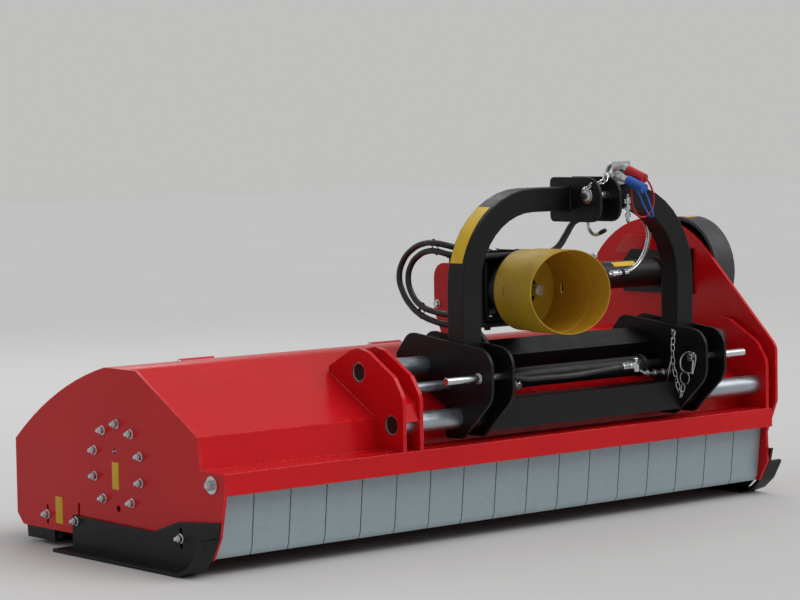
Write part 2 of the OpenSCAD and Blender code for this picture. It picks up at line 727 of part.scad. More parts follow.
module drive_tube() {
    length = deck_w - tube_x;
    color(black) at_origin() difference() {
        union() {
            bar_x(tube_x, length, drive_tube_d, drive_at);
            bar_x(deck_w - collar_l - slide_plate_t, collar_l, collar_d, drive_at);
            slab(deck_w - slide_plate_t, slide_plate_t) translate(drive_at)
                polygon([[-slide_ahead, -slide_half], [-slide_ahead, slide_half],
                    [slide_behind - slide_cut, slide_half], [slide_behind, slide_half - slide_cut],
                    [slide_behind, -slide_half]]);
            translate([tube_x + length * breather_share, drive_y, pto_z + drive_tube_d / 2 - breather_h / 4])
                cylinder(h = breather_h, d = breather_d);
        }
        bar_x(tube_x + seat_l, length - 2 * seat_l, tube_bore, drive_at);
        bar_x(tube_x - over, length + 2 * over, drive_d + 2 * run_clear, drive_at);
    }
}
module cross_shaft() {
    start = pto_x - drive_in + edge_gap;
    color(zinc) at_origin() bar_x(start, shaft_out - start, drive_d, drive_at);
}
spline_count = 6;
spline_w = 3.6;
spline_h = 2.5;
spline_l = 62;
spline_turn = 7.5;
pto_shoulder = 5;
pto_neck_d = pto_d + 2 * pto_shoulder;
module pto_shaft() {
    neck_y = pto_tip_y + spline_l;
    color(zinc) at_origin() difference() {
        union() {
            bar_y(pto_tip_y, spline_l + over, pto_d, pto_x, pto_z);
            bar_y(neck_y, gear_front_y + pto_in - neck_y - edge_gap, pto_neck_d, pto_x, pto_z);
        }
        for (i = [0 : spline_count - 1]) translate([pto_x, pto_tip_y - over, pto_z])
            rotate([0, spline_turn + i * 360 / spline_count, 0])
                translate([-spline_w / 2, 0, pto_d / 2 - spline_h])
                    cube([spline_w, spline_l, spline_h + over]);
    }
}
shield_front_y = -40;
shield_mouth = 96;
slot_w = 9;
slot_l = 28;
slot_y = 75;
module pto_shield_base() {
    length = cap_y - shield_front_y;
    color(yellow) at_origin() difference() {
        bar_y(shield_front_y, length, shield_d, pto_x, pto_z);
        bar_y(shield_front_y - over, length - shield_t + over, shield_d - 2 * shield_t, pto_x, pto_z);
        bar_y(cap_y - shield_t - over, shield_t + 2 * over, shield_mouth, pto_x, pto_z);
        translate([pto_x - shield_d, slot_y, pto_z - slot_l / 2]) cube([2 * shield_d, slot_w, slot_l]);
    }
}
sleeve_gap = 0.5;
sleeve_back_y = 55;
sleeve_left_y = -42;
module pto_shield_sleeve() {
    inner = shield_d + 2 * sleeve_gap;
    outer = inner + 2 * shield_t;
    length = sleeve_back_y + shield_reach;
    skew = atan((shield_reach + sleeve_left_y) / outer);
    color(yellow) at_origin() difference() {
        bar_y(-shield_reach, length, outer, pto_x, pto_z);
        bar_y(-shield_reach - over, length + 2 * over, inner, pto_x, pto_z);
        translate([pto_x + outer / 2, -shield_reach, pto_z - outer]) rotate([0, 0, -skew])
            translate([-2 * outer, -outer, 0]) cube([2 * outer, outer, 2 * outer]);
    }
}

// Rear roller
roller_at = [roller_y, roller_d / 2];
roller_in = 42;
roller_wall = 8;
roller_plate_y = 850;
roller_plate_z = 12;
roller_plate_size = [150, 138];
roller_plate_shares = [[0, 0], [0.96, 0], [1, 0.35], [1, 1], [0, 1]];
roller_hub_d = 76;
roller_hub_l = 24;
module roller_brackets() {
    color(black) at_origin() difference() {
        union() {
            for (x = [0, deck_w - bracket_plate_t]) slab(x, bracket_plate_t)
                translate([roller_plate_y, roller_plate_z]) polygon([for (s = roller_plate_shares)
                    [s[0] * roller_plate_size[0], s[1] * roller_plate_size[1]]]);
            bar_x(bracket_plate_t, roller_hub_l, roller_hub_d, roller_at);
            bar_x(deck_w - bracket_plate_t - roller_hub_l, roller_hub_l, roller_hub_d, roller_at);
        }
        for (x = [0, deck_w - bracket_plate_t - roller_hub_l])
            bar_x(x - over, bracket_plate_t + roller_hub_l + 2 * over,
                roller_shaft_d + 2 * run_clear, roller_at);
        for (x = [0, deck_w - bracket_plate_t]) bolt_hole(x, bracket_plate_t, roller_bolt);
    }
}
module rear_roller() {
    color(black) at_origin() {
        difference() {
            bar_x(roller_in, deck_w - 2 * roller_in, roller_d, roller_at);
            bar_x(roller_in + roller_wall, deck_w - 2 * roller_in - 2 * roller_wall,
                roller_d - 2 * roller_wall, roller_at);
            bar_x(roller_in - over, roller_wall + 2 * over, vent_d, roller_at + [0, vent_r]);
        }
        for (x = [shaft_in, deck_w - roller_in - roller_wall])
            bar_x(x, roller_in + roller_wall - shaft_in, roller_shaft_d, roller_at);
    }
}

// Headstock
pin_at = [-pin_lead, pin_z];
clevis_out = hitch_span / 2 + clevis_gap / 2 + clevis_t;
clevis_in = hitch_span / 2 - clevis_gap / 2 - clevis_t;
collar_wall = 7;
sleeve_collar_d = bar_d + 2 * collar_wall;
deck_gap = 6;
clevis_lead = 50;
clevis_front_y = -pin_lead - clevis_lead;
clevis_back_y = 262;
clevis_tail_y = 312;
clevis_top_z = 595;
clevis_brow_z = 557;
clevis_chin_z = 417;
clevis_keel = [30, 298];
clevis_tail_gap = 16;
clevis_tail_z = 530;
clevis_radii = [50, 60, 70, 30, 8, 0, 10, 10];
clevis_outline = rounded([[clevis_back_y, clevis_top_z], [clevis_front_y, clevis_brow_z],
    [clevis_front_y, clevis_chin_z], clevis_keel, [ledge_y - deck_gap, clevis_keel[1]],
    [ledge_y - deck_gap, bend_z + clevis_tail_gap],
    [clevis_tail_y, slope_z(clevis_tail_y) + clevis_tail_gap],
    [clevis_tail_y + deck_gap, clevis_tail_z]], clevis_radii);
rod_at = [90, 450];
rod_d = 30;
rod_hole_d = 36;
module clevis_plates() {
    color(black) at_origin() difference() {
        for (x = [-clevis_out, -clevis_in - clevis_t, clevis_in, clevis_out - clevis_t])
            slab(head_x + x, clevis_t) polygon(clevis_outline);
        bar_x(head_x - clevis_out - over, 2 * clevis_out + 2 * over, pin_d + 2 * seat_clear, pin_at);
        for (at = [upper_at, lower_at])
            bar_x(head_x - clevis_out - over, 2 * clevis_out + 2 * over,
                sleeve_collar_d + 2 * seat_clear, at);
        bar_x(head_x - clevis_out - over, clevis_out, rod_hole_d, rod_at);
    }
}
module sleeve(at, turn) {
    difference() {
        union() {
            translate([head_x - clevis_in, at[0], at[1]]) rotate([turn, 0, 0])
                translate([0, -sleeve_s / 2, -sleeve_s / 2]) cube([2 * clevis_in, sleeve_s, sleeve_s]);
            bar_x(head_x - clevis_out, 2 * clevis_out, sleeve_collar_d, at);
        }
        bar_x(head_x - clevis_out - over, 2 * clevis_out + 2 * over, bar_d + 2 * run_clear, at);
    }
}
module slide_sleeves() {
    color(black) at_origin() {
        sleeve(upper_at, slope_angle);
        sleeve(lower_at, 0);
    }
}
arch_foot_z = 482;
function arch_line(half, top, r, foot) =
    concat([[-half, foot]], arc([r - half, top - r], r, 180, 90, arc_steps),
        arc([half - r, top - r], r, 90, 0, arc_steps), [[half, foot]]);
// The arch seen from the front, shrunk on all sides, with its feet run past their ends
function arch_band(shrink, past) =
    let (half = clevis_out - clevis_t - shrink, far = arch_tube - 2 * shrink, foot = arch_foot_z - past)
    concat(arch_line(half, arch_top_z - shrink, arch_r - shrink, foot),
        backwards(arch_line(half - far, arch_top_z - shrink - far, arch_r - shrink - far, foot)));
module arch_solid(y, depth) {
    translate([head_x, y + depth, 0]) rotate([90, 0, 0]) linear_extrude(depth) children();
}
module headstock_arch() {
    color(black) at_origin() difference() {
        arch_solid(arch_y, arch_tube) polygon(arch_band(0, 0));
        arch_solid(arch_y + arch_wall, arch_tube - 2 * arch_wall) polygon(arch_band(arch_wall, over));
    }
}
top_at = [-pin_lead, pin_z + mast_h];
top_half = 45;
top_plate_t = 10;
top_lead = 48;
top_behind = 17;
top_below = 34;
top_above = 28;
top_radii = [40, 55, 16, 16];
top_front_y = top_at[0] - top_lead;
top_back_y = arch_y + arch_tube + top_behind;
top_low_z = min(arch_top_z - arch_tube, top_at[1]) - top_below;
top_high_z = max(arch_top_z, top_at[1]) + top_above;
top_outline = rounded([[top_front_y, top_low_z], [top_front_y, top_high_z], [top_back_y, top_high_z],
    [top_back_y, top_low_z]], top_radii);
module toplink_plates() {
    color(black) at_origin() difference() {
        for (x = [-top_half, top_half - top_plate_t]) slab(head_x + x, top_plate_t) polygon(top_outline);
        translate([head_x - top_half - over, arch_y - seat_clear, arch_top_z - arch_tube - seat_clear])
            cube([2 * top_half + 2 * over, arch_tube + 2 * seat_clear, arch_tube + 2 * seat_clear]);
        bar_x(head_x - top_half - over, 2 * top_half + 2 * over, top_pin_d + 2 * seat_clear, top_at);
    }
}
top_pin_head_d = 46;
top_pin_head_t = 10;
top_pin_tail = 26;
module toplink_pin() {
    color(zinc) at_origin() {
        bar_x(head_x - top_half, 2 * top_half + top_pin_tail, top_pin_d, top_at);
        bar_x(head_x - top_half - top_pin_head_t, top_pin_head_t, top_pin_head_d, top_at);
    }
}
pin_collar_d = 32;
pin_collar_t = 8;
pin_tail = 22;
module hitch_pins() {
    color(zinc) at_origin() for (way = [-1, 1]) translate([head_x, 0, 0]) {
        bar_x(way < 0 ? -clevis_out - pin_stub : clevis_in - pin_tail,
            clevis_out + pin_stub - clevis_in + pin_tail, pin_d, pin_at);
        bar_x(way < 0 ? -clevis_out - pin_collar_t : clevis_out, pin_collar_t, pin_collar_d, pin_at);
    }
}
// Side-shift cylinder: the rod stays with the deck and the barrel rides on the headstock
barrel_d = 60;
barrel_l = 675;
barrel_bore_l = 560;
barrel_cap_d = 68;
barrel_cap_l = 16;
lug_d = 30;
port_d = 22;
port_h = 12;
port_in = 33;
port_x = head_x - clevis_in + port_in;
port_span = 613;
far_port_x = port_x + port_span;
nipple_d = 16;
nipple_l = 22;
far_port_z = 455;
module cylinder_barrel() {
    left = head_x - clevis_in;
    color(black) at_origin() difference() {
        union() {
            bar_x(left, barrel_l, barrel_d, rod_at);
            bar_x(left, barrel_cap_l, barrel_cap_d, rod_at);
            bar_x(left + barrel_l, barrel_cap_l, barrel_cap_d, rod_at);
            bar_x(left + barrel_l, 2 * clevis_in - barrel_l, lug_d, rod_at);
            translate([port_x, rod_at[0], rod_at[1]]) cylinder(h = barrel_d / 2 + port_h, d = port_d);
            bar_y(hose_y - port_d / 2, rod_at[0] - hose_y, port_d, far_port_x, far_port_z);
            bar_x(far_port_x - nipple_l, nipple_l, nipple_d, [hose_y, far_port_z]);
        }
        bar_x(left - over, barrel_bore_l + over, rod_d + 2 * run_clear, rod_at);
    }
}
rod_depth = 300;
rod_nut_af = 40;
rod_nut_t = 16;
module cylinder_rod() {
    inner_x = bracket_x + bracket_w - bracket_t;
    color(zinc) at_origin() {
        bar_x(inner_x, rod_depth + head_x - clevis_in - inner_x, rod_d, rod_at);
        bar_x(inner_x + bracket_t, rod_nut_t, rod_nut_af / cos(30), rod_at, $fn = 6);
    }
}

// Couplers on the arch, leaning forward and down, and the hoses to the cylinder
coupler_d = 24;
coupler_off = 187;
coupler_lead = 72;
coupler_drop = 11;
coupler_step = [24, 23, 29];
coupler_lean = 20;
coupler_l = 122;
coupler_nut_af = 27;
coupler_nut_l = 20;
elbow_r = 28;
elbow_d = 14;
holder_off = 162;
holder_w = 75;
holder_t = 3;
holder_y = 32;
holder_foot_l = 46;
holder_h = 69;
// The tip of a coupler, and the lower end of its elbow
function coupler_tip(i) = [head_x + coupler_off, arch_y - coupler_lead, arch_top_z - coupler_drop]
    + i * coupler_step;
function hose_start(i) = coupler_tip(i)
    + coupler_l * [0, cos(coupler_lean), sin(coupler_lean)]
    + elbow_r * [0, 1 + sin(coupler_lean), -cos(coupler_lean)];
module at_coupler(i) { translate(coupler_tip(i)) rotate([coupler_lean - 90, 0, 0]) children(); }
holder_back_y = arch_y + holder_y;
module coupler_holder() {
    color(zinc) at_origin() {
        translate([head_x + holder_off, holder_back_y, arch_top_z]) cube([holder_w, holder_t, holder_h]);
        translate([head_x + holder_off, holder_back_y - holder_foot_l + holder_t, arch_top_z])
            cube([holder_w, holder_foot_l, holder_t]);
        for (i = [0, 1]) at_coupler(i) {
            reach = (holder_back_y - coupler_tip(i)[1]) / cos(coupler_lean);
            cylinder(h = reach + coupler_nut_l, d = coupler_d);
            translate([0, 0, reach - coupler_nut_l])
                cylinder(h = coupler_nut_l, d = coupler_nut_af / cos(30), $fn = 6);
            cylinder(h = coupler_l, d = elbow_d);
            translate([0, elbow_r, coupler_l]) rotate([90, 0, -90])
                rotate_extrude(angle = 90 + coupler_lean) translate([elbow_r, 0]) circle(d = elbow_d);
        }
    }
}
cap_wall = 3;
cap_l = 26;
cap_end = 5;
module coupler_cap(i) {
    at_coupler(i) difference() {
        translate([0, 0, -cap_end]) cylinder(h = cap_l, d = coupler_d + 2 * cap_wall);
        cylinder(h = cap_l, d = coupler_d + 2 * seat_clear);
    }
}
module blue_cap() { color([0.08, 0.22, 0.62]) at_origin() coupler_cap(0); }
module red_cap() { color([0.72, 0.06, 0.08]) at_origin() coupler_cap(1); }

hook_d = 10;
hook_x = -top_half + top_plate_t + hook_d / 2;
// Routes of the hook, in X from the headstock's middle and in Z from the plates' lower edge,
// and of the bent guide rod, in X from that middle and in Z from the arch's top
hook_route = [[hook_x, -31, 38], [hook_x, -31, 0], [hook_x, -38, -24], [hook_x, -58, -36],
    [hook_x, -84, -30], [hook_x, -102, -22]];
guide_d = 14;
guide_route = [[268, 105, -72], [312, 107, -92], [342, 113, -132], [348, 118, -172], [334, 120, -216],
    [298, 120, -248], [250, 120, -266], [196, 120, -276]];
guide_tip = guide_route[len(guide_route) - 1];
guide_tip_d = 22;
guide_tip_l = 34;
module shaft_hook() {
    color(zinc) at_origin() {
        translate([head_x, 0, top_low_z]) swept(hook_route, hook_d);
        translate([head_x, 0, arch_top_z]) {
            swept(guide_route, guide_d);
            bar_x(guide_tip[0] - guide_tip_l, guide_tip_l, guide_tip_d, [guide_tip[1], guide_tip[2]]);
        }
    }
}

hose_d = 18;
hose_sides = 8;
hose_steps = 2;
hose_y = 50;
hose_lead = 38;
// Routes of the hoses, in X from the headstock's middle
function from_head(p) = p - [head_x, 0, 0];
function under_elbow(i) = from_head(hose_start(i)) - [0, 0, hose_lead];
outer_hose = [from_head(hose_start(1)), under_elbow(1), [194, 142, 956], [148, 158, 922], [104, 169, 893],
    [74, 172, 856], [46, 173, 824], [8, 173, 808], [-60, 173, 806], [-160, 173, 806], [-256, 173, 808],
    [-314, 176, 818], [-352, 186, 834], [-382, 208, 845], [-392, 245, 850], [-392, 288, 847],
    [-392, 340, 829], [-392, 385, 792], [-392, 403, 744], [-392, 388, 702], [-392, 352, 662],
    [-392, 306, 636], [-386, 245, 618], [-379, 180, 606], [-372, 124, 578], [-357, 90, 534],
    [port_x - head_x, rod_at[0], rod_at[1] + barrel_d / 2 + port_h]];
inner_hose = [from_head(hose_start(0)), under_elbow(0), [170, 118, 936], [126, 134, 912], [78, 146, 892],
    [50, 150, 858], [22, 152, 826], [-14, 153, 809], [-80, 153, 806], [-170, 153, 806], [-260, 153, 806],
    [-318, 158, 808], [-358, 170, 812], [-385, 195, 819], [-392, 230, 826], [-392, 270, 825],
    [-392, 310, 812], [-392, 346, 784], [-392, 362, 743], [-392, 347, 698], [-392, 306, 664],
    [-388, 238, 646], [-380, 165, 636], [-364, 104, 606], [-346, 60, 550], [-328, 44, 492],
    [-258, 42, 457], [-134, 44, 447], [-4, 46, 446], [106, 49, 451], [190, 50, 455],
    [far_port_x - nipple_l - head_x, hose_y, far_port_z]];
function hose_point(p, i, t) =
    let (n = len(p) - 1, a = p[max(i - 1, 0)], b = p[i], c = p[i + 1], d = p[min(i + 2, n)])
    (2 * b + (c - a) * t + (2 * a - 5 * b + 4 * c - d) * pow(t, 2) + (3 * b - a - 3 * c + d) * pow(t, 3)) / 2;
function hose_line(p) = concat([for (i = [0 : len(p) - 2], k = [0 : hose_steps - 1])
    hose_point(p, i, k / hose_steps)], [p[len(p) - 1]]);
// Directions across the line, each turned no further than the line itself turns
function across(way, i, last) =
    let (next = unit(last - (last * way[i]) * way[i]))
    i == len(way) - 1 ? [next] : concat([next], across(way, i + 1, next));
// A round bar or hose swept along a smooth line through the points
module swept(p, d) {
    line = hose_line(p);
    n = len(line);
    last = len(p) - 1;
    way = concat([unit(p[1] - p[0])], [for (i = [1 : n - 2]) unit(line[i + 1] - line[i - 1])],
        [unit(p[last] - p[last - 1])]);
    out = across(way, 0, [1, 0, 1]);
    points = [for (i = [0 : n - 1], k = [0 : hose_sides - 1]) let (a = 360 * k / hose_sides)
        line[i] + d / 2 * (cos(a) * out[i] + sin(a) * cross(way[i], out[i]))];
    walls = [for (i = [0 : n - 2], k = [0 : hose_sides - 1])
        let (a = i * hose_sides + k, b = i * hose_sides + (k + 1) % hose_sides)
        each [[a, a + hose_sides, b], [b, a + hose_sides, b + hose_sides]]];
    ends = [for (k = [1 : hose_sides - 2]) each [[0, k, k + 1],
        [(n - 1) * hose_sides, (n - 1) * hose_sides + k + 1, (n - 1) * hose_sides + k]]];
    polyhedron(points, concat(walls, ends));
}
module hydraulic_hoses() {
    color(black) at_origin() translate([head_x, 0, 0]) {
        swept(outer_hose, hose_d);
        swept(inner_hose, hose_d);
    }
}

function flap_name(i) = str("flap_", i < 10 ? "0" : "", i);

deck_shell();
left_end_plate();
right_end_plate();
front_beam();
hood_hinge_pins();
rear_hood();
slide_brackets();
guide_bars();
left_skid();
right_skid();
deck_bolts();
flap_rod();
rotor_bearings();
rotor();
hammer_row(0);  // hammer_row_1
hammer_row(1);  // hammer_row_2
hammer_row(2);  // hammer_row_3
rotor_pulley();
drive_pulley();
drive_belts();
belt_guard();
gearbox_housing();
gearbox_stand();
drive_tube();
cross_shaft();
pto_shaft();
pto_shield_base();
pto_shield_sleeve();
roller_brackets();
rear_roller();
clevis_plates();
slide_sleeves();
headstock_arch();
toplink_plates();
toplink_pin();
hitch_pins();
shaft_hook();
coupler_holder();
blue_cap();
red_cap();
hydraulic_hoses();
cylinder_barrel();
cylinder_rod();
for (i = [1 : flap_count]) flap(i);
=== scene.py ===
"""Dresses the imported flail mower: finishes for its solids, and hoses, chains, fasteners, welds and straps."""
import math

import bmesh
import bpy
from mathutils import Matrix, Vector


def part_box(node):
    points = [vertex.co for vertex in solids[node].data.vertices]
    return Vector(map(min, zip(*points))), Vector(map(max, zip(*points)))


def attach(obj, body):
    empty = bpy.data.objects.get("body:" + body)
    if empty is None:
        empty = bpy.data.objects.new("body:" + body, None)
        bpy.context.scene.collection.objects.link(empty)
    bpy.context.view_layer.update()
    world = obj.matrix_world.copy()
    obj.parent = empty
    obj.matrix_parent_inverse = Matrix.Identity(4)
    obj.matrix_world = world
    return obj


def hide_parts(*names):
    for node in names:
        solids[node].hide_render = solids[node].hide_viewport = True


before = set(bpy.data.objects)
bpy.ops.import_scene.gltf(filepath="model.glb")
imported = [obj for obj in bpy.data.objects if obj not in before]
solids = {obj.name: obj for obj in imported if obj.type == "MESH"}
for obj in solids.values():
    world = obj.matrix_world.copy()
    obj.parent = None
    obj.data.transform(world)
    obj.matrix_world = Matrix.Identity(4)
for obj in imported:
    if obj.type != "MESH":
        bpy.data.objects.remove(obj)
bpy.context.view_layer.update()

# Places are in millimetres from the beam's left end, its front face and the ground
MM = 0.001
LEFT, RIGHT, FRONT, UP, DOWN = (-1, 0, 0), (1, 0, 0), (0, -1, 0), (0, 0, 1), (0, 0, -1)
beam_low, beam_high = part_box("front_beam")


def x_of(corner):
    return (corner.x - beam_low.x) / MM


def spot(x, y, z):
    return Vector((beam_low.x + x * MM, beam_low.y + y * MM, z * MM))


def spots(points):
    return [spot(*point) for point in points]


def moved(points, x=0, y=0, z=0):
    return [(x + a, y + b, z + c) for a, b, c in points]


# Driving dimensions
HEAD_FROM_WALL, GEARBOX_FROM_HEAD, CHEEK_FROM_GEARBOX = 795, 152, 105
PLATE_T, WALL_T, SKID_T, CLEVIS_T = 8, 10, 10, 10
BOX_TOP, BOX_FOOT = 810, 594
beam_length = x_of(beam_high)
left_face, right_face = -PLATE_T, beam_length + WALL_T
head_x = beam_length - HEAD_FROM_WALL
gearbox_x = head_x - GEARBOX_FROM_HEAD
cheek_x = gearbox_x - CHEEK_FROM_GEARBOX

# Y and Z of the lines that run along X
DRIVE, ROTOR, FLAP_ROD, TOP_PIN = (420, 705), (504, 262), (57, 251), (-50, 980)
GUIDE_BARS = ((195, 498), (53, 357))

# Each leg of the headstock stands between two clevis plates, this far out from the middle
LEG_INNER, LEG_OUTER = 400, 470

# View settings and camera
bpy.context.scene.view_settings.view_transform = "Standard"

CAMERA_PLACE = (-5.1495, -6.0595, 1.204)
CAMERA_AZIMUTH, CAMERA_ELEVATION, CAMERA_ROLL = -39.86, 3.86, -1.02
CAMERA_LENS = 118.575


def aim_camera():
    azimuth, elevation, roll = (math.radians(a) for a in (CAMERA_AZIMUTH, CAMERA_ELEVATION, CAMERA_ROLL))
    level = math.cos(elevation)
    back = Vector((math.sin(azimuth) * level, -math.cos(azimuth) * level, math.sin(elevation)))
    across = (-back).cross(Vector(UP)).normalized()
    upright = across.cross(-back)
    right = math.cos(roll) * across + math.sin(roll) * upright
    up = math.cos(roll) * upright - math.sin(roll) * across
    bpy.ops.object.camera_add(location=CAMERA_PLACE)
    camera = bpy.context.active_object
    camera.data.lens = CAMERA_LENS
    turn = Matrix((right, up, back)).transposed().to_4x4()
    camera.matrix_world = Matrix.Translation(CAMERA_PLACE) @ turn
    bpy.context.scene.camera = camera


# Handling of pieces
SMOOTH_ANGLE, SHARP_ANGLE = 35, 30


def let_go():
    if bpy.context.mode != "OBJECT":
        bpy.ops.object.mode_set(mode="OBJECT")
    bpy.ops.object.select_all(action="DESELECT")


def grasp(*pieces):
    """Leaves only these pieces selected, the first one active."""
    let_go()
    for piece in pieces:
        piece.select_set(True)
    bpy.context.view_layer.objects.active = pieces[0]


def settle(piece):
    """Takes the piece's place, turn and scale into its mesh."""
    grasp(piece)
    bpy.ops.object.transform_apply(location=True, rotation=True, scale=True)


def edit(piece):
    grasp(piece)
    bpy.ops.object.mode_set(mode="EDIT")
    bpy.ops.mesh.select_all(action="DESELECT")


def shift(piece, test, x=0, y=0, z=0):
    """Moves the vertices whose place passes the test, by millimetres, in edit mode."""
    bpy.ops.mesh.select_mode(type="VERT")
    bpy.ops.mesh.select_all(action="DESELECT")
    mesh = bmesh.from_edit_mesh(piece.data)
    for vert in mesh.verts:
        vert.select_set(test(vert.co))
    mesh.select_flush_mode()
    bmesh.update_edit_mesh(piece.data)
    bpy.ops.transform.translate(value=(x * MM, y * MM, z * MM))


def round_edges(piece, width):
    edit(piece)
    bpy.ops.mesh.select_mode(type="EDGE")
    bpy.ops.mesh.edges_select_sharp(sharpness=math.radians(SHARP_ANGLE))
    bpy.ops.mesh.bevel(offset=width * MM, segments=2, affect="EDGES", clamp_overlap=True)
    let_go()


def joined(pieces):
    grasp(*pieces)
    if len(pieces) > 1:
        bpy.ops.object.join()
    return bpy.context.active_object


def copies(piece, places):
    """One piece made of a copy of the given one at each place."""
    made = []
    for place in places:
        twin = piece.copy()
        twin.data = piece.data.copy()
        twin.data.transform(place)
        bpy.context.scene.collection.objects.link(twin)
        made.append(twin)
    bpy.data.objects.remove(piece)
    return joined(made)


def along(direction, roll=0.0):
    """The turn that points the Z axis along a direction."""
    turn = Vector(direction).to_track_quat("Z", "Y").to_matrix().to_4x4()
    return turn @ Matrix.Rotation(roll, 4, "Z")


def at(place, direction=UP, roll=0.0):
    """The move that stands a piece made at the origin on a place, its Z along a direction."""
    return Matrix.Translation(spot(*place)) @ along(direction, roll)


def stood(piece, place, direction=UP):
    piece.data.transform(at(place, direction))
    return piece


def dress(piece, name, body, finish, smooth=SMOOTH_ANGLE):
    settle(piece)
    piece.name = name
    piece.data.name = name
    bpy.ops.object.shade_smooth_by_angle(angle=math.radians(smooth))
    piece.data.materials.clear()
    piece.data.materials.append(finish)
    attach(piece, body)
    return piece


# Parts of a finish
WHOLE, BLEND, PATCHES = (0.0, 1.0), (0.3, 0.7), (0.35, 0.65)
NOISE_ROUGHNESS = 0.55


def new_finish(name, colour, roughness, metallic=0.0, specular=0.5):
    finish = bpy.data.materials.new(name)
    finish.use_nodes = True
    shader = finish.node_tree.nodes["Principled BSDF"]
    shader.inputs["Base Color"].default_value = (*colour, 1)
    shader.inputs["Roughness"].default_value = roughness
    shader.inputs["Metallic"].default_value = metallic
    shader.inputs["Specular IOR Level"].default_value = specular
    finish.node_tree.nodes.new("ShaderNodeTexCoord").name = "place"
    return finish, finish.node_tree


def shader_input(tree, name):
    return tree.nodes["Principled BSDF"].inputs[name]


def object_place(tree):
    return tree.nodes["place"].outputs["Object"]


def darker(colour, share):
    return tuple(share * c for c in colour)


def grain(tree, scale, detail=4.0, stretch=None):
    place = object_place(tree)
    if stretch:
        mapping = tree.nodes.new("ShaderNodeMapping")
        mapping.inputs["Scale"].default_value = stretch
        tree.links.new(place, mapping.inputs["Vector"])
        place = mapping.outputs["Vector"]
    noise = tree.nodes.new("ShaderNodeTexNoise")
    noise.inputs["Scale"].default_value = scale
    noise.inputs["Detail"].default_value = detail
    noise.inputs["Roughness"].default_value = NOISE_ROUGHNESS
    tree.links.new(place, noise.inputs["Vector"])
    return noise.outputs["Fac"]


def spread(tree, value, part, onto=WHOLE):
    """A part of the value's range laid onto another range."""
    node = tree.nodes.new("ShaderNodeMapRange")
    for name, number in zip(("From Min", "From Max", "To Min", "To Max"), (*part, *onto)):
        node.inputs[name].default_value = number
    tree.links.new(value, node.inputs["Value"])
    return node.outputs["Result"]


def combined(tree, kind, a, b):
    """The outcome of one sum with two values."""
    node = tree.nodes.new("ShaderNodeMath")
    node.operation = kind
    tree.links.new(a, node.inputs[0])
    tree.links.new(b, node.inputs[1])
    return node.outputs["Value"]


def vector_node(tree, kind, first, second):
    """One sum with two vectors: a socket, and a socket or three numbers."""
    node = tree.nodes.new("ShaderNodeVectorMath")
    node.operation = kind
    tree.links.new(first, node.inputs[0])
    if isinstance(second, bpy.types.NodeSocket):
        tree.links.new(second, node.inputs[1])
    else:
        node.inputs[1].default_value = second
    return node


def tint(tree, share, colour_a, colour_b):
    """A mix of two colours, each a socket or three numbers."""
    node = tree.nodes.new("ShaderNodeMix")
    node.data_type = "RGBA"
    tree.links.new(share, node.inputs[0])
    for socket, colour in ((node.inputs[6], colour_a), (node.inputs[7], colour_b)):
        if isinstance(colour, tuple):
            socket.default_value = (*colour, 1)
        else:
            tree.links.new(colour, socket)
    return node.outputs[2]


def clouded(tree, colour_a, colour_b, scale, detail=5.0, part=PATCHES):
    return tint(tree, spread(tree, grain(tree, scale, detail), part), colour_a, colour_b)


def paint(tree, colour):
    tree.links.new(colour, shader_input(tree, "Base Color"))


def uneven_shine(tree, scale, low, high):
    """Roughness that wanders between two values."""
    shine = spread(tree, grain(tree, scale), BLEND, (low, high))
    tree.links.new(shine, shader_input(tree, "Roughness"))


def relief(tree, scale, strength, depth, detail=4.0, stretch=None):
    height = grain(tree, scale, detail, stretch)
    node = tree.nodes.new("ShaderNodeBump")
    node.inputs["Strength"].default_value = strength
    node.inputs["Distance"].default_value = depth
    tree.links.new(height, node.inputs["Height"])
    tree.links.new(node.outputs["Normal"], shader_input(tree, "Normal"))


def face_normal(tree):
    return tree.nodes.new("ShaderNodeNewGeometry").outputs["Normal"]


def worn_and_lit_edges(tree, reach, scale):
    """One along outer edges, where the paint has worn thin and where a painted highlight stands for light
    caught on the edge, and zero elsewhere.
    """
    rounded = tree.nodes.new("ShaderNodeBevel")
    rounded.samples = 4
    rounded.inputs["Radius"].default_value = reach
    match = vector_node(tree, "DOT_PRODUCT", rounded.outputs["Normal"], face_normal(tree))
    edge = spread(tree, match.outputs["Value"], part=(0.995, 0.93))
    rubbed_and_lit = spread(tree, grain(tree, scale), part=(0.42, 0.62))
    return combined(tree, "MULTIPLY", edge, rubbed_and_lit)


def dust_and_sheen_on_tops(tree, most, scale):
    """Dust, and a painted sheen of the sky: more on surfaces that face up, in soft patches."""
    axes = tree.nodes.new("ShaderNodeSeparateXYZ")
    tree.links.new(face_normal(tree), axes.inputs["Vector"])
    lying = spread(tree, axes.outputs["Z"], part=(0.2, 0.95), onto=(0.0, most))
    patchy = spread(tree, grain(tree, scale, detail=6.0), part=(0.35, 0.7), onto=(0.2, 1.0))
    return combined(tree, "MULTIPLY", lying, patchy)


# Finishes
def gloss_red():
    bright, deep = (0.56, 0.0045, 0.0085), (0.50, 0.0035, 0.0070)
    dust_and_sheen, rubbed_and_lit = (0.42, 0.20, 0.16), (0.72, 0.09, 0.09)
    finish, tree = new_finish("gloss_red_paint", (0.53, 0.004, 0.008), 0.24, specular=0.22)
    colour = clouded(tree, bright, deep, scale=2.5)
    colour = tint(tree, dust_and_sheen_on_tops(tree, most=0.012, scale=9.0), colour, dust_and_sheen)
    # Lighter red along the edges: wear, and a painted highlight of light caught on them.
    colour = tint(tree, worn_and_lit_edges(tree, reach=0.003, scale=60.0), colour, rubbed_and_lit)
    paint(tree, colour)
    uneven_shine(tree, scale=30.0, low=0.17, high=0.31)
    relief(tree, scale=420.0, strength=0.05, depth=0.0005, detail=2.0)
    return finish


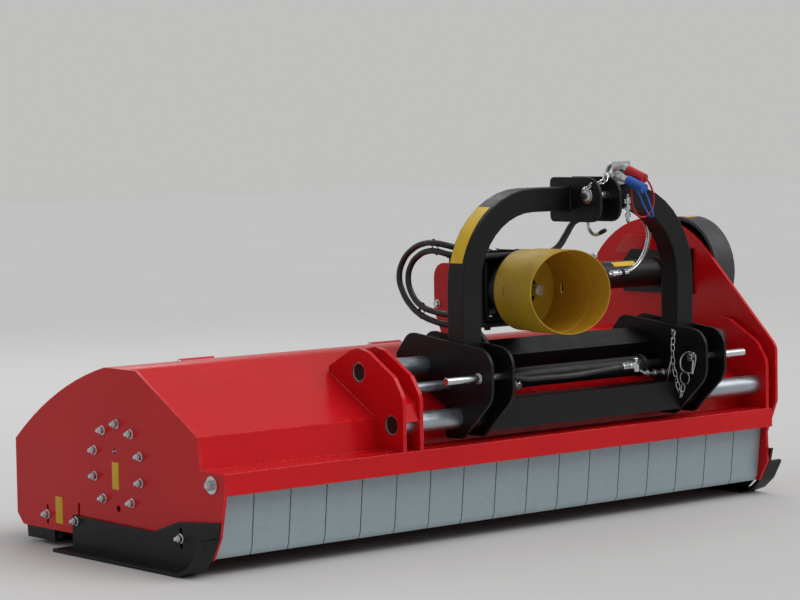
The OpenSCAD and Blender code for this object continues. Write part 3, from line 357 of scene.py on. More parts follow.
def satin_black(name="satin_black_paint", roughness=(0.30, 0.46), pitting=0.05, scale=350.0):
    deep, pale = (0.0045, 0.0045, 0.0051), (0.0065, 0.0065, 0.0071)
    dust_and_sheen, rubbed_and_lit = (0.16, 0.155, 0.145), (0.045, 0.045, 0.047)
    finish, tree = new_finish(name, (0.0065, 0.0065, 0.0072), 0.4, specular=0.22)
    colour = clouded(tree, deep, pale, scale=3.0)
    # Greyer tops: dust, and a painted sheen of the sky on faces that look up.
    colour = tint(tree, dust_and_sheen_on_tops(tree, most=0.03, scale=7.0), colour, dust_and_sheen)
    # Lighter along the edges: wear, and a painted highlight of light caught on them.
    colour = tint(tree, worn_and_lit_edges(tree, reach=0.002, scale=55.0), colour, rubbed_and_lit)
    paint(tree, colour)
    low, high = roughness
    uneven_shine(tree, 26.0, low, high)
    relief(tree, scale=scale, strength=pitting, depth=0.0008, detail=3.0)
    return finish


def bright_steel(name, colour, roughness, drawn):
    """Plated or ground steel; drawn marks run along X."""
    finish, tree = new_finish(name, colour, roughness, metallic=1.0)
    paint(tree, clouded(tree, colour, darker(colour, 0.84), scale=9.0, detail=4.0))
    uneven_shine(tree, scale=45.0, low=roughness - 0.05, high=roughness + 0.07)
    relief(tree, scale=190.0, strength=drawn, depth=0.0003, detail=2.0, stretch=(0.08, 1, 1))
    return finish


def galvanised_sheet():
    dull, clear, streaked = (0.285, 0.35, 0.38), (0.305, 0.372, 0.402), (0.255, 0.31, 0.335)
    finish, tree = new_finish("galvanised_sheet", (0.29, 0.355, 0.385), 0.45, metallic=0.25)
    spangle = tree.nodes.new("ShaderNodeTexVoronoi")
    spangle.inputs["Scale"].default_value = 95.0
    tree.links.new(object_place(tree), spangle.inputs["Vector"])
    flakes = tree.nodes.new("ShaderNodeSeparateColor")
    tree.links.new(spangle.outputs["Color"], flakes.inputs["Color"])
    colour = tint(tree, flakes.outputs["Red"], dull, clear)
    streak = grain(tree, scale=5.0, stretch=(3.0, 1, 0.4))
    colour = tint(tree, spread(tree, streak, part=(0.5, 0.75), onto=(0.0, 0.25)), colour, streaked)
    paint(tree, colour)
    shine = spread(tree, flakes.outputs["Green"], WHOLE, onto=(0.36, 0.48))
    tree.links.new(shine, shader_input(tree, "Roughness"))
    relief(tree, scale=120.0, strength=0.03, depth=0.0004, detail=3.0)
    return finish


def yellow_shield():
    """Yellow outside, with painted shade: browner where the wall faces the shaft."""
    bright, deep = (0.50, 0.325, 0.018), (0.43, 0.265, 0.014)
    grime, shaded_brown = (0.26, 0.145, 0.014), (0.43, 0.195, 0.012)
    finish, tree = new_finish("yellow_shield_plastic", (0.46, 0.30, 0.018), 0.45, specular=0.3)
    colour = clouded(tree, bright, deep, scale=6.0)
    grimy = spread(tree, grain(tree, scale=11.0, detail=7.0), part=(0.52, 0.75), onto=(0.0, 0.4))
    colour = tint(tree, grimy, colour, grime)
    from_shaft = vector_node(tree, "SUBTRACT", object_place(tree), spot(gearbox_x, 0, DRIVE[1]))
    across = vector_node(tree, "MULTIPLY", from_shaft.outputs["Vector"], (1, 0, 1))
    outward = vector_node(tree, "DOT_PRODUCT", across.outputs["Vector"], face_normal(tree))
    # Painted shade: the faces turned towards the shaft are browner.
    inside = spread(tree, outward.outputs["Value"], part=(-0.005, -0.03), onto=(0.0, 0.75))
    paint(tree, tint(tree, inside, colour, shaded_brown))
    uneven_shine(tree, scale=40.0, low=0.38, high=0.55)
    shader_input(tree, "Subsurface Weight").default_value = 0.06
    shader_input(tree, "Subsurface Radius").default_value = (0.01, 0.006, 0.002)
    relief(tree, scale=260.0, strength=0.05, depth=0.0006, detail=2.0)
    return finish


def moulded_plastic(name, colour, roughness, texture=300.0):
    finish, tree = new_finish(name, colour, roughness, specular=0.3)
    paint(tree, clouded(tree, colour, darker(colour, 0.76), scale=18.0, part=BLEND))
    uneven_shine(tree, scale=50.0, low=roughness - 0.08, high=roughness + 0.1)
    relief(tree, scale=texture, strength=0.08, depth=0.0005, detail=2.0)
    return finish


def forged_iron():
    skin, rust = (0.075, 0.072, 0.07), (0.12, 0.052, 0.022)
    finish, tree = new_finish("forged_iron", (0.055, 0.05, 0.047), 0.6, metallic=0.7)
    rusty = spread(tree, grain(tree, scale=22.0, detail=7.0), part=(0.5, 0.72), onto=(0.0, 0.8))
    paint(tree, tint(tree, rusty, skin, rust))
    uneven_shine(tree, scale=35.0, low=0.42, high=0.75)
    relief(tree, scale=140.0, strength=0.18, depth=0.001)
    return finish


def hose_rubber():
    clean, scuffed = (0.0075, 0.0075, 0.008), (0.022, 0.021, 0.02)
    finish, tree = new_finish("hose_rubber", (0.008, 0.008, 0.0085), 0.5)
    scuff = spread(tree, grain(tree, scale=25.0, detail=6.0), part=(0.5, 0.75))
    paint(tree, tint(tree, scuff, clean, scuffed))
    uneven_shine(tree, scale=60.0, low=0.36, high=0.55)
    relief(tree, scale=500.0, strength=0.12, depth=0.0005, detail=2.0)
    return finish


red = gloss_red()
black = satin_black()
cast_black = satin_black("cast_black_paint", roughness=(0.38, 0.6), pitting=0.22, scale=130.0)
zinc = bright_steel("bright_zinc_steel", (0.62, 0.64, 0.66), 0.24, drawn=0.02)
ground_bar = bright_steel("ground_bar_steel", (0.44, 0.485, 0.54), 0.38, drawn=0.0)
galvanised = galvanised_sheet()
shield_yellow = yellow_shield()
guard_grey = moulded_plastic("guard_grey_plastic", (0.042, 0.043, 0.047), 0.45, texture=220.0)
iron = forged_iron()
rubber = hose_rubber()
plug_black = moulded_plastic("plug_black_plastic", (0.008, 0.008, 0.009), 0.42)
blue = moulded_plastic("blue_cap_plastic", (0.030, 0.12, 0.50), 0.36)
cap_red = moulded_plastic("red_cap_plastic", (0.52, 0.014, 0.02), 0.36)
strip_yellow = moulded_plastic("yellow_strip_film", (0.72, 0.46, 0.008), 0.4)

# Edge radius in millimetres of each solid, by finish; the flaps have a finish of their own
SOLID_FINISHES = (
    (red, {"deck_shell": 1.5, "left_end_plate": 1.2, "right_end_plate": 1.5, "front_beam": 1.8,
           "rear_hood": 1.2, "slide_brackets": 1.5, "gearbox_stand": 1.5}),
    (black, {"left_skid": 1.5, "right_skid": 1.5, "rotor": 0, "drive_tube": 1.5, "roller_brackets": 0,
             "rear_roller": 1.5, "clevis_plates": 1.5, "slide_sleeves": 3, "headstock_arch": 3.8,
             "toplink_plates": 1.5, "cylinder_barrel": 1.2}),
    (cast_black, {"rotor_bearings": 0, "gearbox_housing": 4}),
    (zinc, {"hood_hinge_pins": 0, "deck_bolts": 0, "flap_rod": 0.8, "cross_shaft": 0, "pto_shaft": 0,
            "toplink_pin": 1.5, "hitch_pins": 1.5, "shaft_hook": 0, "coupler_holder": 0.8}),
    (ground_bar, {"guide_bars": 1.5, "cylinder_rod": 1.0}),
    (iron, {"hammer_row_1": 0, "hammer_row_2": 0, "hammer_row_3": 0, "rotor_pulley": 0, "drive_pulley": 0}),
    (rubber, {"drive_belts": 0, "hydraulic_hoses": 0}),
    (guard_grey, {"belt_guard": 1.4}),
    (shield_yellow, {"pto_shield_base": 1.0, "pto_shield_sleeve": 1.0}),
    (blue, {"blue_cap": 1.0}),
    (cap_red, {"red_cap": 1.0}),
)
FLAP_FINISH = (galvanised, 0.9)
WELD_GAP, FLAT_ANGLE, EDGE_ANGLE, NORMAL_WEIGHT = 1e-5, 0.4, 32, 80


def smooth_faces():
    """A node group that shades every face smooth."""
    group = bpy.data.node_groups.new("smooth_faces", "GeometryNodeTree")
    for way in ("INPUT", "OUTPUT"):
        group.interface.new_socket("Geometry", in_out=way, socket_type="NodeSocketGeometry")
    entry = group.nodes.new("NodeGroupInput")
    plain = group.nodes.new("GeometryNodeRemoveAttribute")
    plain.inputs["Name"].default_value = "custom_normal"
    smooth = group.nodes.new("GeometryNodeSetShadeSmooth")
    leave = group.nodes.new("NodeGroupOutput")
    group.links.new(entry.outputs[0], plain.inputs["Geometry"])
    group.links.new(plain.outputs["Geometry"], smooth.inputs["Geometry"])
    group.links.new(smooth.outputs["Geometry"], leave.inputs[0])
    return group


def soften(solid, radius, smoothing):
    """Rounds the solid's hard edges with live modifiers, and leaves its mesh alone."""
    weld = solid.modifiers.new("weld", "WELD")
    weld.merge_threshold = WELD_GAP
    flat = solid.modifiers.new("flat_faces", "DECIMATE")
    flat.decimate_type = "DISSOLVE"
    flat.angle_limit = math.radians(FLAT_ANGLE)
    solid.modifiers.new("smooth", "NODES").node_group = smoothing
    edge = solid.modifiers.new("edges", "BEVEL")
    edge.width = radius * MM
    edge.segments = 3
    edge.limit_method = "ANGLE"
    edge.angle_limit = math.radians(EDGE_ANGLE)
    edge.use_clamp_overlap = True
    normal = solid.modifiers.new("normals", "WEIGHTED_NORMAL")
    normal.weight = NORMAL_WEIGHT


def finish_solids():
    smoothing = smooth_faces()
    finishes = {name: (finish, radius) for finish, radii in SOLID_FINISHES for name, radius in radii.items()}
    for name, solid in solids.items():
        finish, radius = finishes.get(name, FLAP_FINISH)
        solid.data.materials.clear()
        solid.data.materials.append(finish)
        if radius:
            soften(solid, radius, smoothing)


# Shapes that several pieces share
HEX = 6
WIRE_STEPS = 6
BEAD_STEP, BEAD_MEAN, BEAD_RIPPLE, BEAD_PACE = 4.5, 0.9, 0.16, 2.1


def turned(profile, sides=24):
    """A solid of revolution about Z, from steps of radius and height in millimetres."""
    let_go()
    radius, height = profile[0]
    bpy.ops.mesh.primitive_circle_add(vertices=sides, radius=radius * MM, fill_type="NGON",
                                      location=(0, 0, height * MM))
    piece = bpy.context.active_object
    settle(piece)
    edit(piece)
    bpy.ops.mesh.select_all(action="SELECT")
    for next_radius, next_height in profile[1:]:
        rise = (next_height - height) * MM
        bpy.ops.mesh.extrude_region_move(TRANSFORM_OT_translate={"value": (0, 0, rise)})
        share = next_radius / radius
        bpy.ops.transform.resize(value=(share, share, 1), center_override=(0, 0, next_height * MM))
        radius, height = next_radius, next_height
    bpy.ops.mesh.select_all(action="SELECT")
    bpy.ops.mesh.normals_make_consistent(inside=False)
    let_go()
    return piece


def block(size):
    """A box about the origin, still to be shaped; the size is in millimetres."""
    let_go()
    bpy.ops.mesh.primitive_cube_add(size=1)
    piece = bpy.context.active_object
    piece.scale = [length * MM for length in size]
    settle(piece)
    return piece


def plate(size, place, edge):
    """A plate with rounded edges, in millimetres."""
    piece = block(size)
    round_edges(piece, edge)
    return stood(piece, place)


def tube_curve(name, points, radius, sides, steps, smooth=True, closed=False):
    """A round tube through the points, as a curve; its radius is in metres."""
    line = bpy.data.curves.new(name, "CURVE")
    line.dimensions = "3D"
    line.bevel_depth = radius
    line.bevel_resolution = sides
    line.resolution_u = steps
    line.use_fill_caps = not closed
    spline = line.splines.new("BEZIER" if smooth else "POLY")
    holds = spline.bezier_points if smooth else spline.points
    holds.add(len(points) - 1)
    for hold, point in zip(holds, spots(points)):
        if smooth:
            hold.co = point
            hold.handle_left_type = hold.handle_right_type = "AUTO"
        else:
            hold.co = (*point, 1)
    spline.use_cyclic_u = closed
    tube = bpy.data.objects.new(name, line)
    bpy.context.scene.collection.objects.link(tube)
    return tube


def as_mesh(tube):
    grasp(tube)
    bpy.ops.object.convert(target="MESH")
    return bpy.context.active_object


def wire(points, thickness, smooth=True, sides=3, closed=False):
    """A round wire through the points, in millimetres."""
    return as_mesh(tube_curve("wire", points, thickness * MM / 2, sides, WIRE_STEPS, smooth, closed))


def stepped(points, step):
    """Points about a step apart along a broken line, in millimetres."""
    line = [Vector(points[0])]
    for a, b in zip(points, points[1:]):
        a, b = Vector(a), Vector(b)
        count = max(1, round((b - a).length / step))
        line += [a.lerp(b, i / count) for i in range(1, count + 1)]
    return line


def bead(points, thickness):
    """A weld along a broken line, rippled as it was laid."""
    line = stepped(points, BEAD_STEP)
    weld = tube_curve("wire", line, thickness * MM / 2, sides=1, steps=WIRE_STEPS, smooth=False)
    for i, hold in enumerate(weld.data.splines[0].points):
        hold.radius = BEAD_MEAN + BEAD_RIPPLE * math.cos(BEAD_PACE * i)
    return as_mesh(weld)


def on_ring(centre, radius, angle):
    """The two coordinates of a point on a circle, at an angle in degrees."""
    turn = math.radians(angle)
    return centre[0] + radius * math.cos(turn), centre[1] + radius * math.sin(turn)


def arc_points(x, centre, radius, start, end, count):
    """Points of an arc in the plane across X, in millimetres and degrees."""
    angles = [start + (end - start) * i / (count - 1) for i in range(count)]
    return [(x, *on_ring(centre, radius, angle)) for angle in angles]


def ring(place, radius, thickness, count):
    """A wire ring in the plane across X."""
    x, *centre = place
    return wire(arc_points(x, centre, radius, 0, 360, count), thickness)


# Hoses from the couplers to the cylinder; the X of every route counts from the headstock's middle
HOSE_D = 18 * MM
HOSE_SIDES, HOSE_STEPS = 4, 8
LEAN = math.radians(20)
COUPLER_L, ELBOW_R, HOSE_LEAD = 122, 28, 38
COUPLER_AXIS = (0, math.cos(LEAN), math.sin(LEAN))
BLUE_TIP = (head_x + 187, -44, 995)
RED_TIP = (head_x + 211, -21, 1024)
PORT = (head_x - 357, 90, 492)
FAR_PORT = (head_x + 234, 50, 455)
OUTER_ROUTE = [(194, 142, 956), (148, 158, 922), (104, 169, 893), (74, 172, 856), (46, 173, 824),
               (8, 173, 808), (-60, 173, 806), (-160, 173, 806), (-256, 173, 808), (-314, 176, 818),
               (-352, 186, 834), (-382, 208, 845), (-392, 245, 850), (-392, 288, 847), (-392, 340, 829),
               (-392, 385, 792), (-392, 403, 744), (-392, 388, 702), (-392, 352, 662), (-392, 306, 636),
               (-386, 245, 618), (-379, 180, 606), (-372, 124, 578), (-357, 90, 534)]
INNER_ROUTE = [(170, 118, 936), (126, 134, 912), (78, 146, 892), (50, 150, 858), (22, 152, 826),
               (-14, 153, 809), (-80, 153, 806), (-170, 153, 806), (-260, 153, 806), (-318, 158, 808),
               (-358, 170, 812), (-385, 195, 819), (-392, 230, 826), (-392, 270, 825), (-392, 310, 812),
               (-392, 346, 784), (-392, 362, 743), (-392, 347, 698), (-392, 306, 664), (-388, 238, 646),
               (-380, 165, 636), (-364, 104, 606), (-346, 60, 550), (-328, 44, 492), (-258, 42, 457),
               (-134, 44, 447), (-4, 46, 446), (106, 49, 451), (190, 50, 455)]


def elbow_end(tip):
    x, y, z = tip
    return (x, y + COUPLER_L * COUPLER_AXIS[1] + ELBOW_R * (1 + COUPLER_AXIS[2]),
            z + COUPLER_L * COUPLER_AXIS[2] - ELBOW_R * COUPLER_AXIS[1])


def hose(name, tip, route, end):
    x, y, z = elbow_end(tip)
    points = [(x, y, z), (x, y, z - HOSE_LEAD)] + moved(route, head_x) + [end]
    piece = tube_curve(name, points, HOSE_D / 2, HOSE_SIDES, HOSE_STEPS)
    piece.data.materials.append(rubber)
    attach(piece, "headstock")
    return piece


def hoses():
    outer = hose("outer_hose", RED_TIP, OUTER_ROUTE, PORT)
    inner = hose("inner_hose", BLUE_TIP, INNER_ROUTE, FAR_PORT)
    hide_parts("hydraulic_hoses")


# Ends and ties of the hoses
CRIMPS, CRIMP_PITCH = 5, 6
PORT_SINK = 2
TIE_X, TIE_R, TIE_D = head_x - 391, 10.6, 3.2
TIE_LOCK, TIE_LOCK_EDGE, TIE_LOCK_OUT = (7, 6, 8), 1.0, 11
TIED_HOSES = (((245, 850), (232, 826)), ((306, 636), (300, 662)))


def hose_ends():
    """A swivel nut and a crimped ferrule where each hose meets its fitting."""
    nut = turned([(11.5, 0), (13.6, 1.2), (13.6, 14), (11.8, 15.5)], HEX)
    ferrule = [(9.4, 15), (10.4, 16.5), (10.4, 20), (12, 21)]
    for i in range(CRIMPS):
        rise = CRIMP_PITCH * i
        ferrule += [(12, 25 + rise), (11.1, 26 + rise), (11.1, 27 + rise)]
    shell = turned(ferrule + [(12, 54), (11.4, 56), (9.2, 56.5)])
    places = [at(elbow_end(tip), DOWN) for tip in (RED_TIP, BLUE_TIP)]
    places.append(at((PORT[0], PORT[1], PORT[2] - PORT_SINK), UP))
    places.append(at((FAR_PORT[0] + PORT_SINK, FAR_PORT[1], FAR_PORT[2]), LEFT))
    dress(copies(joined([nut, shell]), places), "hose_fittings", "headstock", zinc)


def hose_ties():
    """Two ties that hold the loops together, each drawn round both hoses."""
    ties = []
    for first, second in TIED_HOSES:
        a, b = Vector(first), Vector(second)
        turn = math.atan2(*(b - a).yx)
        angle = math.degrees(turn)
        loop = arc_points(TIE_X, a, TIE_R, angle + 90, angle + 270, 9)
        loop += arc_points(TIE_X, b, TIE_R, angle - 90, angle + 90, 9)
        ties.append(wire(loop, TIE_D, smooth=False, closed=True))
        lock = (a + b) / 2 + TIE_LOCK_OUT * Vector((math.sin(turn), -math.cos(turn)))
        ties.append(plate(TIE_LOCK, (TIE_X, *lock), TIE_LOCK_EDGE))
    dress(joined(ties), "hose_ties", "headstock", plug_black)


# Hook for the drive shaft, and the rod that guides the hoses
HOOK_X, HOOK_D = head_x - 30, 10
HOOK_ROUTE = [(-31, 944), (-31, 902), (-38, 878), (-58, 866), (-84, 872), (-102, 880)]
HOOK_NUT = (HOOK_X, -31, 934)
HOOK_TIP, HOOK_TIP_AXIS = (HOOK_X, -80, 871), (0, -0.92, 0.36)
GUIDE_D, GUIDE_FOOT_AXIS = 14, (1, 0, 0.03)
GUIDE_ROUTE = [(268, 105, 934), (316, 107, 918), (346, 109, 886), (364, 113, 854), (366, 118, 824),
               (349, 120, 784), (317, 120, 752), (277, 120, 737), (234, 120, 733), (196, 120, 732)]
GUIDE_SOCKET = (head_x + 210, 120, 732.5)
GUIDE_SLEEVE = (head_x + 247, 120, 733.6)


def hook_and_guide():
    """The hook and the rod, with the hook's nut and dipped tip and the rod's socket and sleeve."""
    bar = wire([(HOOK_X, y, z) for y, z in HOOK_ROUTE], HOOK_D)
    rod = wire(moved(GUIDE_ROUTE, head_x), GUIDE_D, sides=4)
    nut = turned([(8, 0), (9.5, 1), (9.5, 7), (8, 8)], HEX)
    socket = turned([(7.2, 0), (9.6, 0.8), (10.4, 2), (10.4, 22), (9, 23), (9, 27), (10.4, 28), (10.4, 66),
                     (8, 68)])
    metal = joined([bar, rod, stood(nut, HOOK_NUT), stood(socket, GUIDE_SOCKET, GUIDE_FOOT_AXIS)])
    steel = dress(metal, "hook_and_guide_rod", "headstock", zinc)
    tip = turned([(4, -1), (6, 0), (6.4, 3), (6.4, 22), (5.6, 25), (3, 26.5)])
    sleeve = turned([(7.2, 0), (11.4, 0.6), (12.2, 2), (12.2, 11), (11.4, 12.4), (8, 13)])
    soft = joined([stood(tip, HOOK_TIP, HOOK_TIP_AXIS), stood(sleeve, GUIDE_SLEEVE, GUIDE_FOOT_AXIS)])
    dress(soft, "hook_tip_and_sleeve", "headstock", plug_black)
    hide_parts("shaft_hook")


# Fasteners; the turns keep the corners of the nuts and heads from standing alike
BEARING_BOLT_R, BEARING_HOLES, VACANT_HOLE = 119, 10, 5
SKID_BOLTS = [(190, 95), (706, 88)]
ROLLER_BOLT = (872, 91)
STUD_TURN, ROLLER_STUD_TURN, HEAD_TURN = 0.6, 0.3, 0.01
THREADS, THREAD_PITCH = 6, 1.5
BOX_BOLT_OUT, BOX_BOLT_ROWS = 63, (212, 313)
CHEEK_BOLTS = ((300, 626), (300, 750), (388, 658))
BAR_END = 613


def nut_on_stud():
    """A washer, a chamfered nut and the threaded end that stands out of it."""
    washer = turned([(12.6, 0), (13.5, 0.6), (13.5, 2.4), (12.6, 3)], sides=32)
    nut = turned([(9.9, 2.8), (10.95, 3.8), (10.95, 11), (9.7, 12.4)], HEX)
    thread = [(5.0, 11)]
    for i in range(THREADS):
        rise = THREAD_PITCH * i
        thread += [(6, 12.2 + rise), (5.2, 12.95 + rise)]
    stud = turned(thread + [(5.6, 21), (4.6, 22)], sides=16)
    return joined([washer, nut, stud])


def hex_head():
    """A bolt's head, dished in the middle, on its washer."""
    washer = turned([(12.6, 0), (13.5, 0.5), (13.5, 1.7), (12.6, 2.2)], sides=32)
    head = turned([(9.6, 2), (10.95, 2.6), (10.95, 8.4), (9.7, 9.4), (7.4, 9.4), (6.6, 8.8)], HEX)
    return joined([washer, head])


def both_ends(y, z, turn, out=0):
    """A place on the outer face of each end of the deck, or further out."""
    return [at((left_face - out, y, z), LEFT, turn), at((right_face + out, y, z), RIGHT, turn)]


def deck_nuts():
    """The nuts round the rotor's bearings, on the skids and on the roller's brackets."""
    studs = []
    for i in range(BEARING_HOLES):
        if i != VACANT_HOLE:
            y, z = on_ring(ROTOR, BEARING_BOLT_R, 90 - 360 / BEARING_HOLES * i)
            studs += both_ends(y, z, STUD_TURN * i)
    for i, (y, z) in enumerate(SKID_BOLTS):
        studs += both_ends(y, z, i, SKID_T)
    studs += both_ends(*ROLLER_BOLT, ROLLER_STUD_TURN)
    nuts = dress(copies(nut_on_stud(), studs), "deck_nuts_on_studs", "deck", zinc)
    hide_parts("deck_bolts")


def gearbox_bolts():
    """Bolts through the gearbox from above and below, and through the cheek that holds it."""
    heads = []
    for x in (gearbox_x - BOX_BOLT_OUT, gearbox_x + BOX_BOLT_OUT):
        for y in BOX_BOLT_ROWS:
            heads += [at((x, y, BOX_TOP), UP, HEAD_TURN * x), at((x, y, BOX_FOOT), DOWN, HEAD_TURN * x)]
    dress(copies(hex_head(), heads), "gearbox_bolt_heads", "deck", cast_black)
    heads = [at((cheek_x, y, z), LEFT, HEAD_TURN * z) for y, z in CHEEK_BOLTS]
    dress(copies(hex_head(), heads), "cheek_bolt_heads", "deck", zinc)


def flap_rod_nut():
    """The washer, the nut and the end of the flap rod."""
    nut = turned([(9.9, 0), (13.5, 1.2), (13.5, 15), (11.6, 17)], HEX)
    washer = turned([(24, 0), (25, 0.7), (25, 2.6), (24, 3.3)], sides=32)
    rod_end = turned([(7, 15), (8, 16.5), (8, 19), (7.2, 20)], sides=16)
    end = stood(joined([washer, nut, rod_end]), (left_face, *FLAP_ROD), LEFT)
    dress(end, "flap_rod_nut", "deck", zinc)


def bar_plugs():
    """Dished plugs in the open ends of the guide bars."""
    plug = turned([(23.8, -12), (23.8, -1.5), (23, 0), (20, 0), (19, -1.2), (8, -2.4), (0.1, -2.6)], sides=40)
    places = [at((BAR_END, *bar), LEFT) for bar in GUIDE_BARS]
    dress(copies(plug, places), "guide_bar_plugs", "deck", plug_black)


# Clips and chains; X counts from the clip, and for the top chain from the headstock's middle
LINK_R, LINK_D, LINK_STRETCH, LINK_WAIST = 4.2, 2.5, 4, 0.2
LINK_PITCH, LINK_TILT, CHAIN_STEP = 13.6, 0.3, 2.0
HITCH_LINK_SIZE, TOP_LINK_SIZE = 1.45, 1.6
CLIP_OUT, CLIP_PIN_D, CLIP_WIRE_D = 384, 9.5, 5.5
CLIP_PIN = [(0, -54, 492), (0, -49, 426)]
CLIP_BOW = [(0, -54, 489), (-3, -39, 491), (-6, -15, 481), (-7, -5, 456), (-6, -14, 433), (-4, -32, 427),
            (0, -49, 429)]
CLIP_BACK = [(0, -54, 489), (-2, -64, 482), (-2, -62, 458), (0, -50, 430)]
HITCH_CHAIN = [(0, 29, 541), (-4, 29, 511), (-5, 29, 476), (-5, 26, 445), (-5, 14, 407), (-5, 4, 373),
               (-5, -5, 355), (-5, -11, 372), (-5, -16, 394)]
LOOSE_WIRE, LOOSE_WIRE_D = [(-9, 31, 472), (-10, 51, 392)], 4.5
CHAIN_EYE = (head_x + LEG_INNER - CLEVIS_T, 29, 553)
TOP_RING = (head_x - 58, -50, 992)
TOP_CHAIN = [(-58, -56, 1003), (-40, -62, 1012), (-14, -60, 1016), (16, -56, 1022), (26, -50, 1036),
             (40, -46, 1038)]
KNOB_SINK = 8


def chain_link():
    """A welded link, long along Z."""
    let_go()
    bpy.ops.mesh.primitive_torus_add(major_radius=LINK_R * MM, minor_radius=LINK_D / 2 * MM,
                                     major_segments=14, minor_segments=7, rotation=(math.pi / 2, 0, 0))
    link = bpy.context.active_object
    settle(link)
    edit(link)
    for side in (-1, 1):
        shift(link, lambda co: co.z * side > LINK_WAIST * MM, z=side * LINK_STRETCH)
    let_go()
    return link


def chain(points, size):
    """Links along a broken line, each turned across the one before."""
    line = spots(stepped(points, CHAIN_STEP))
    places, walked, due = [], 0.0, 0.0
    for a, b in zip(line, line[1:]):
        walked += (b - a).length
        if walked >= due:
            turn = along(b - a, math.pi / 2 * (len(places) % 2) + LINK_TILT)
            places.append(Matrix.Translation(b) @ turn @ Matrix.Scale(size, 4))
            due += size * LINK_PITCH * MM
    return copies(chain_link(), places)


def linch_clip(x):
    """The stout pin of a clip, with its bow and its back."""
    pin = wire(moved(CLIP_PIN, x), CLIP_PIN_D, smooth=False, sides=4)
    return [pin] + [wire(moved(line, x), CLIP_WIRE_D) for line in (CLIP_BOW, CLIP_BACK)]


def hitch_chain(x):
    """The chain from a clip to its eye on the clevis, with a ring at each end and a loose wire."""
    links = chain(moved(HITCH_CHAIN, x), HITCH_LINK_SIZE)
    clip_ring = ring((x - 6, -22, 412), radius=19, thickness=3.6, count=13)
    eye_ring = ring((x, 29, 547), radius=8, thickness=3.4, count=9)
    loose = wire(moved(LOOSE_WIRE, x), LOOSE_WIRE_D, smooth=False)
    eye = turned([(3.4, -2), (3.4, 10), (5, 10.6), (5, 13), (3.6, 14)], sides=16)
    return [links, clip_ring, eye_ring, loose, stood(eye, CHAIN_EYE, LEFT)]


def top_chain():
    """The chain of the top pin, with a ring round the pin and the knob on its end."""
    pin_end = x_of(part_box("toplink_pin")[0])
    pin_ring = ring(TOP_RING, radius=13, thickness=3, count=11)
    links = chain(moved(TOP_CHAIN, head_x), TOP_LINK_SIZE)
    knob = turned([(13, 0), (17, 1), (17, 4), (15.4, 5), (17, 6), (17, 9), (15.4, 10), (16.6, 11), (14, 14),
                   (9, 15)], sides=28)
    return [pin_ring, links, stood(knob, (pin_end + KNOB_SINK, *TOP_PIN), LEFT)]


def linch_chains():
    """The clips of the hitch pins, and the chains of the right clip and the top pin."""
    left_x, right_x = head_x - CLIP_OUT, head_x + CLIP_OUT
    steel = linch_clip(right_x) + hitch_chain(right_x) + linch_clip(left_x) + top_chain()
    dress(joined(steel), "linch_pins_and_chains", "headstock", zinc)


# Straps, skirts and nuts of the couplers; the loops are measured from the coupler's tip
STRAP_D = 6
RED_LOOP = [(0, -2, 6), (14, -16, -22), (29, -12, -76), (26, 0, -104), (-4, 10, -116), (-20, 22, -92),
            (-22, 30, -44), (-12, 40, 2)]
BLUE_LOOP = [(0, -2, -4), (19, -2, -36), (43, 10, -87), (34, 26, -62), (12, 34, -14), (0, 38, 4)]
SKIRT_GROOVES, SKIRT_PITCH = 7, 6


def cap_straps():
    """The loops that keep the dust caps on their couplers."""
    strap = wire(moved(RED_LOOP, *RED_TIP), STRAP_D)
    dress(strap, "red_cap_strap", "headstock", cap_red)
    strap = wire(moved(BLUE_LOOP, *BLUE_TIP), STRAP_D)
    dress(strap, "blue_cap_strap", "headstock", blue)


def cap_skirt(tip):
    """The skirt of a cap, grooved for the fingers."""
    profile = [(13.6, 17), (15.2, 18.4)]
    for i in range(SKIRT_GROOVES):
        rise = SKIRT_PITCH * i
        profile += [(15.2, 22 + rise), (14.4, 23 + rise), (14.4, 24.4 + rise), (15.2, 25.4 + rise)]
    return stood(turned(profile + [(15.2, 66), (13.8, 67.6)], sides=28), tip, COUPLER_AXIS)


def coupler_rings():
    """The skirt of each cap and the swivel nut of each coupler."""
    dress(cap_skirt(BLUE_TIP), "blue_cap_skirt", "headstock", blue)
    dress(cap_skirt(RED_TIP), "red_cap_skirt", "headstock", cap_red)
    nut = turned([(10, 104), (11.8, 105), (11.8, 113), (10.2, 114.2)], HEX)
    places = [at(tip, COUPLER_AXIS) for tip in (BLUE_TIP, RED_TIP)]
    dress(copies(nut, places), "coupler_nuts", "headstock", zinc)


# Welds
WELD_D, LEG_WELD_D, WELD_SMOOTH = 8, 7, 60
SLOPE_FOOT, SLOPE_TOP = (119, 373), (406, 535)
BRACKET_SIDES, BRACKET_WELD = (610, 684), (128, 322)
CHEEK_WELD = (270, 338)
TOP_PLATE_OUT = 45
ARCH_WELD_LEVELS, ARCH_WELD_ENDS = (1007, 935), (30, 96)
ARCH_FRONT, ARCH_FRONT_WELD = 27, (938, 1004)
LEG_WELD_FOOT = 520
LEG_WELDS = ((28, 572), (98, 580))


def slope_z(y):
    """The height of the deck's slope."""
    (foot_y, foot_z), (top_y, top_z) = SLOPE_FOOT, SLOPE_TOP
    return foot_z + (y - foot_y) * (top_z - foot_z) / (top_y - foot_y)


def slope_bead(x, ends):
    return bead([(x, y, slope_z(y)) for y in ends], WELD_D)


def deck_welds():
    """Welds of the slide bracket and the gearbox's cheek, up the slope."""
    beads = [slope_bead(x, BRACKET_WELD) for x in BRACKET_SIDES] + [slope_bead(cheek_x, CHEEK_WELD)]
    dress(joined(beads), "deck_welds", "deck", red, WELD_SMOOTH)


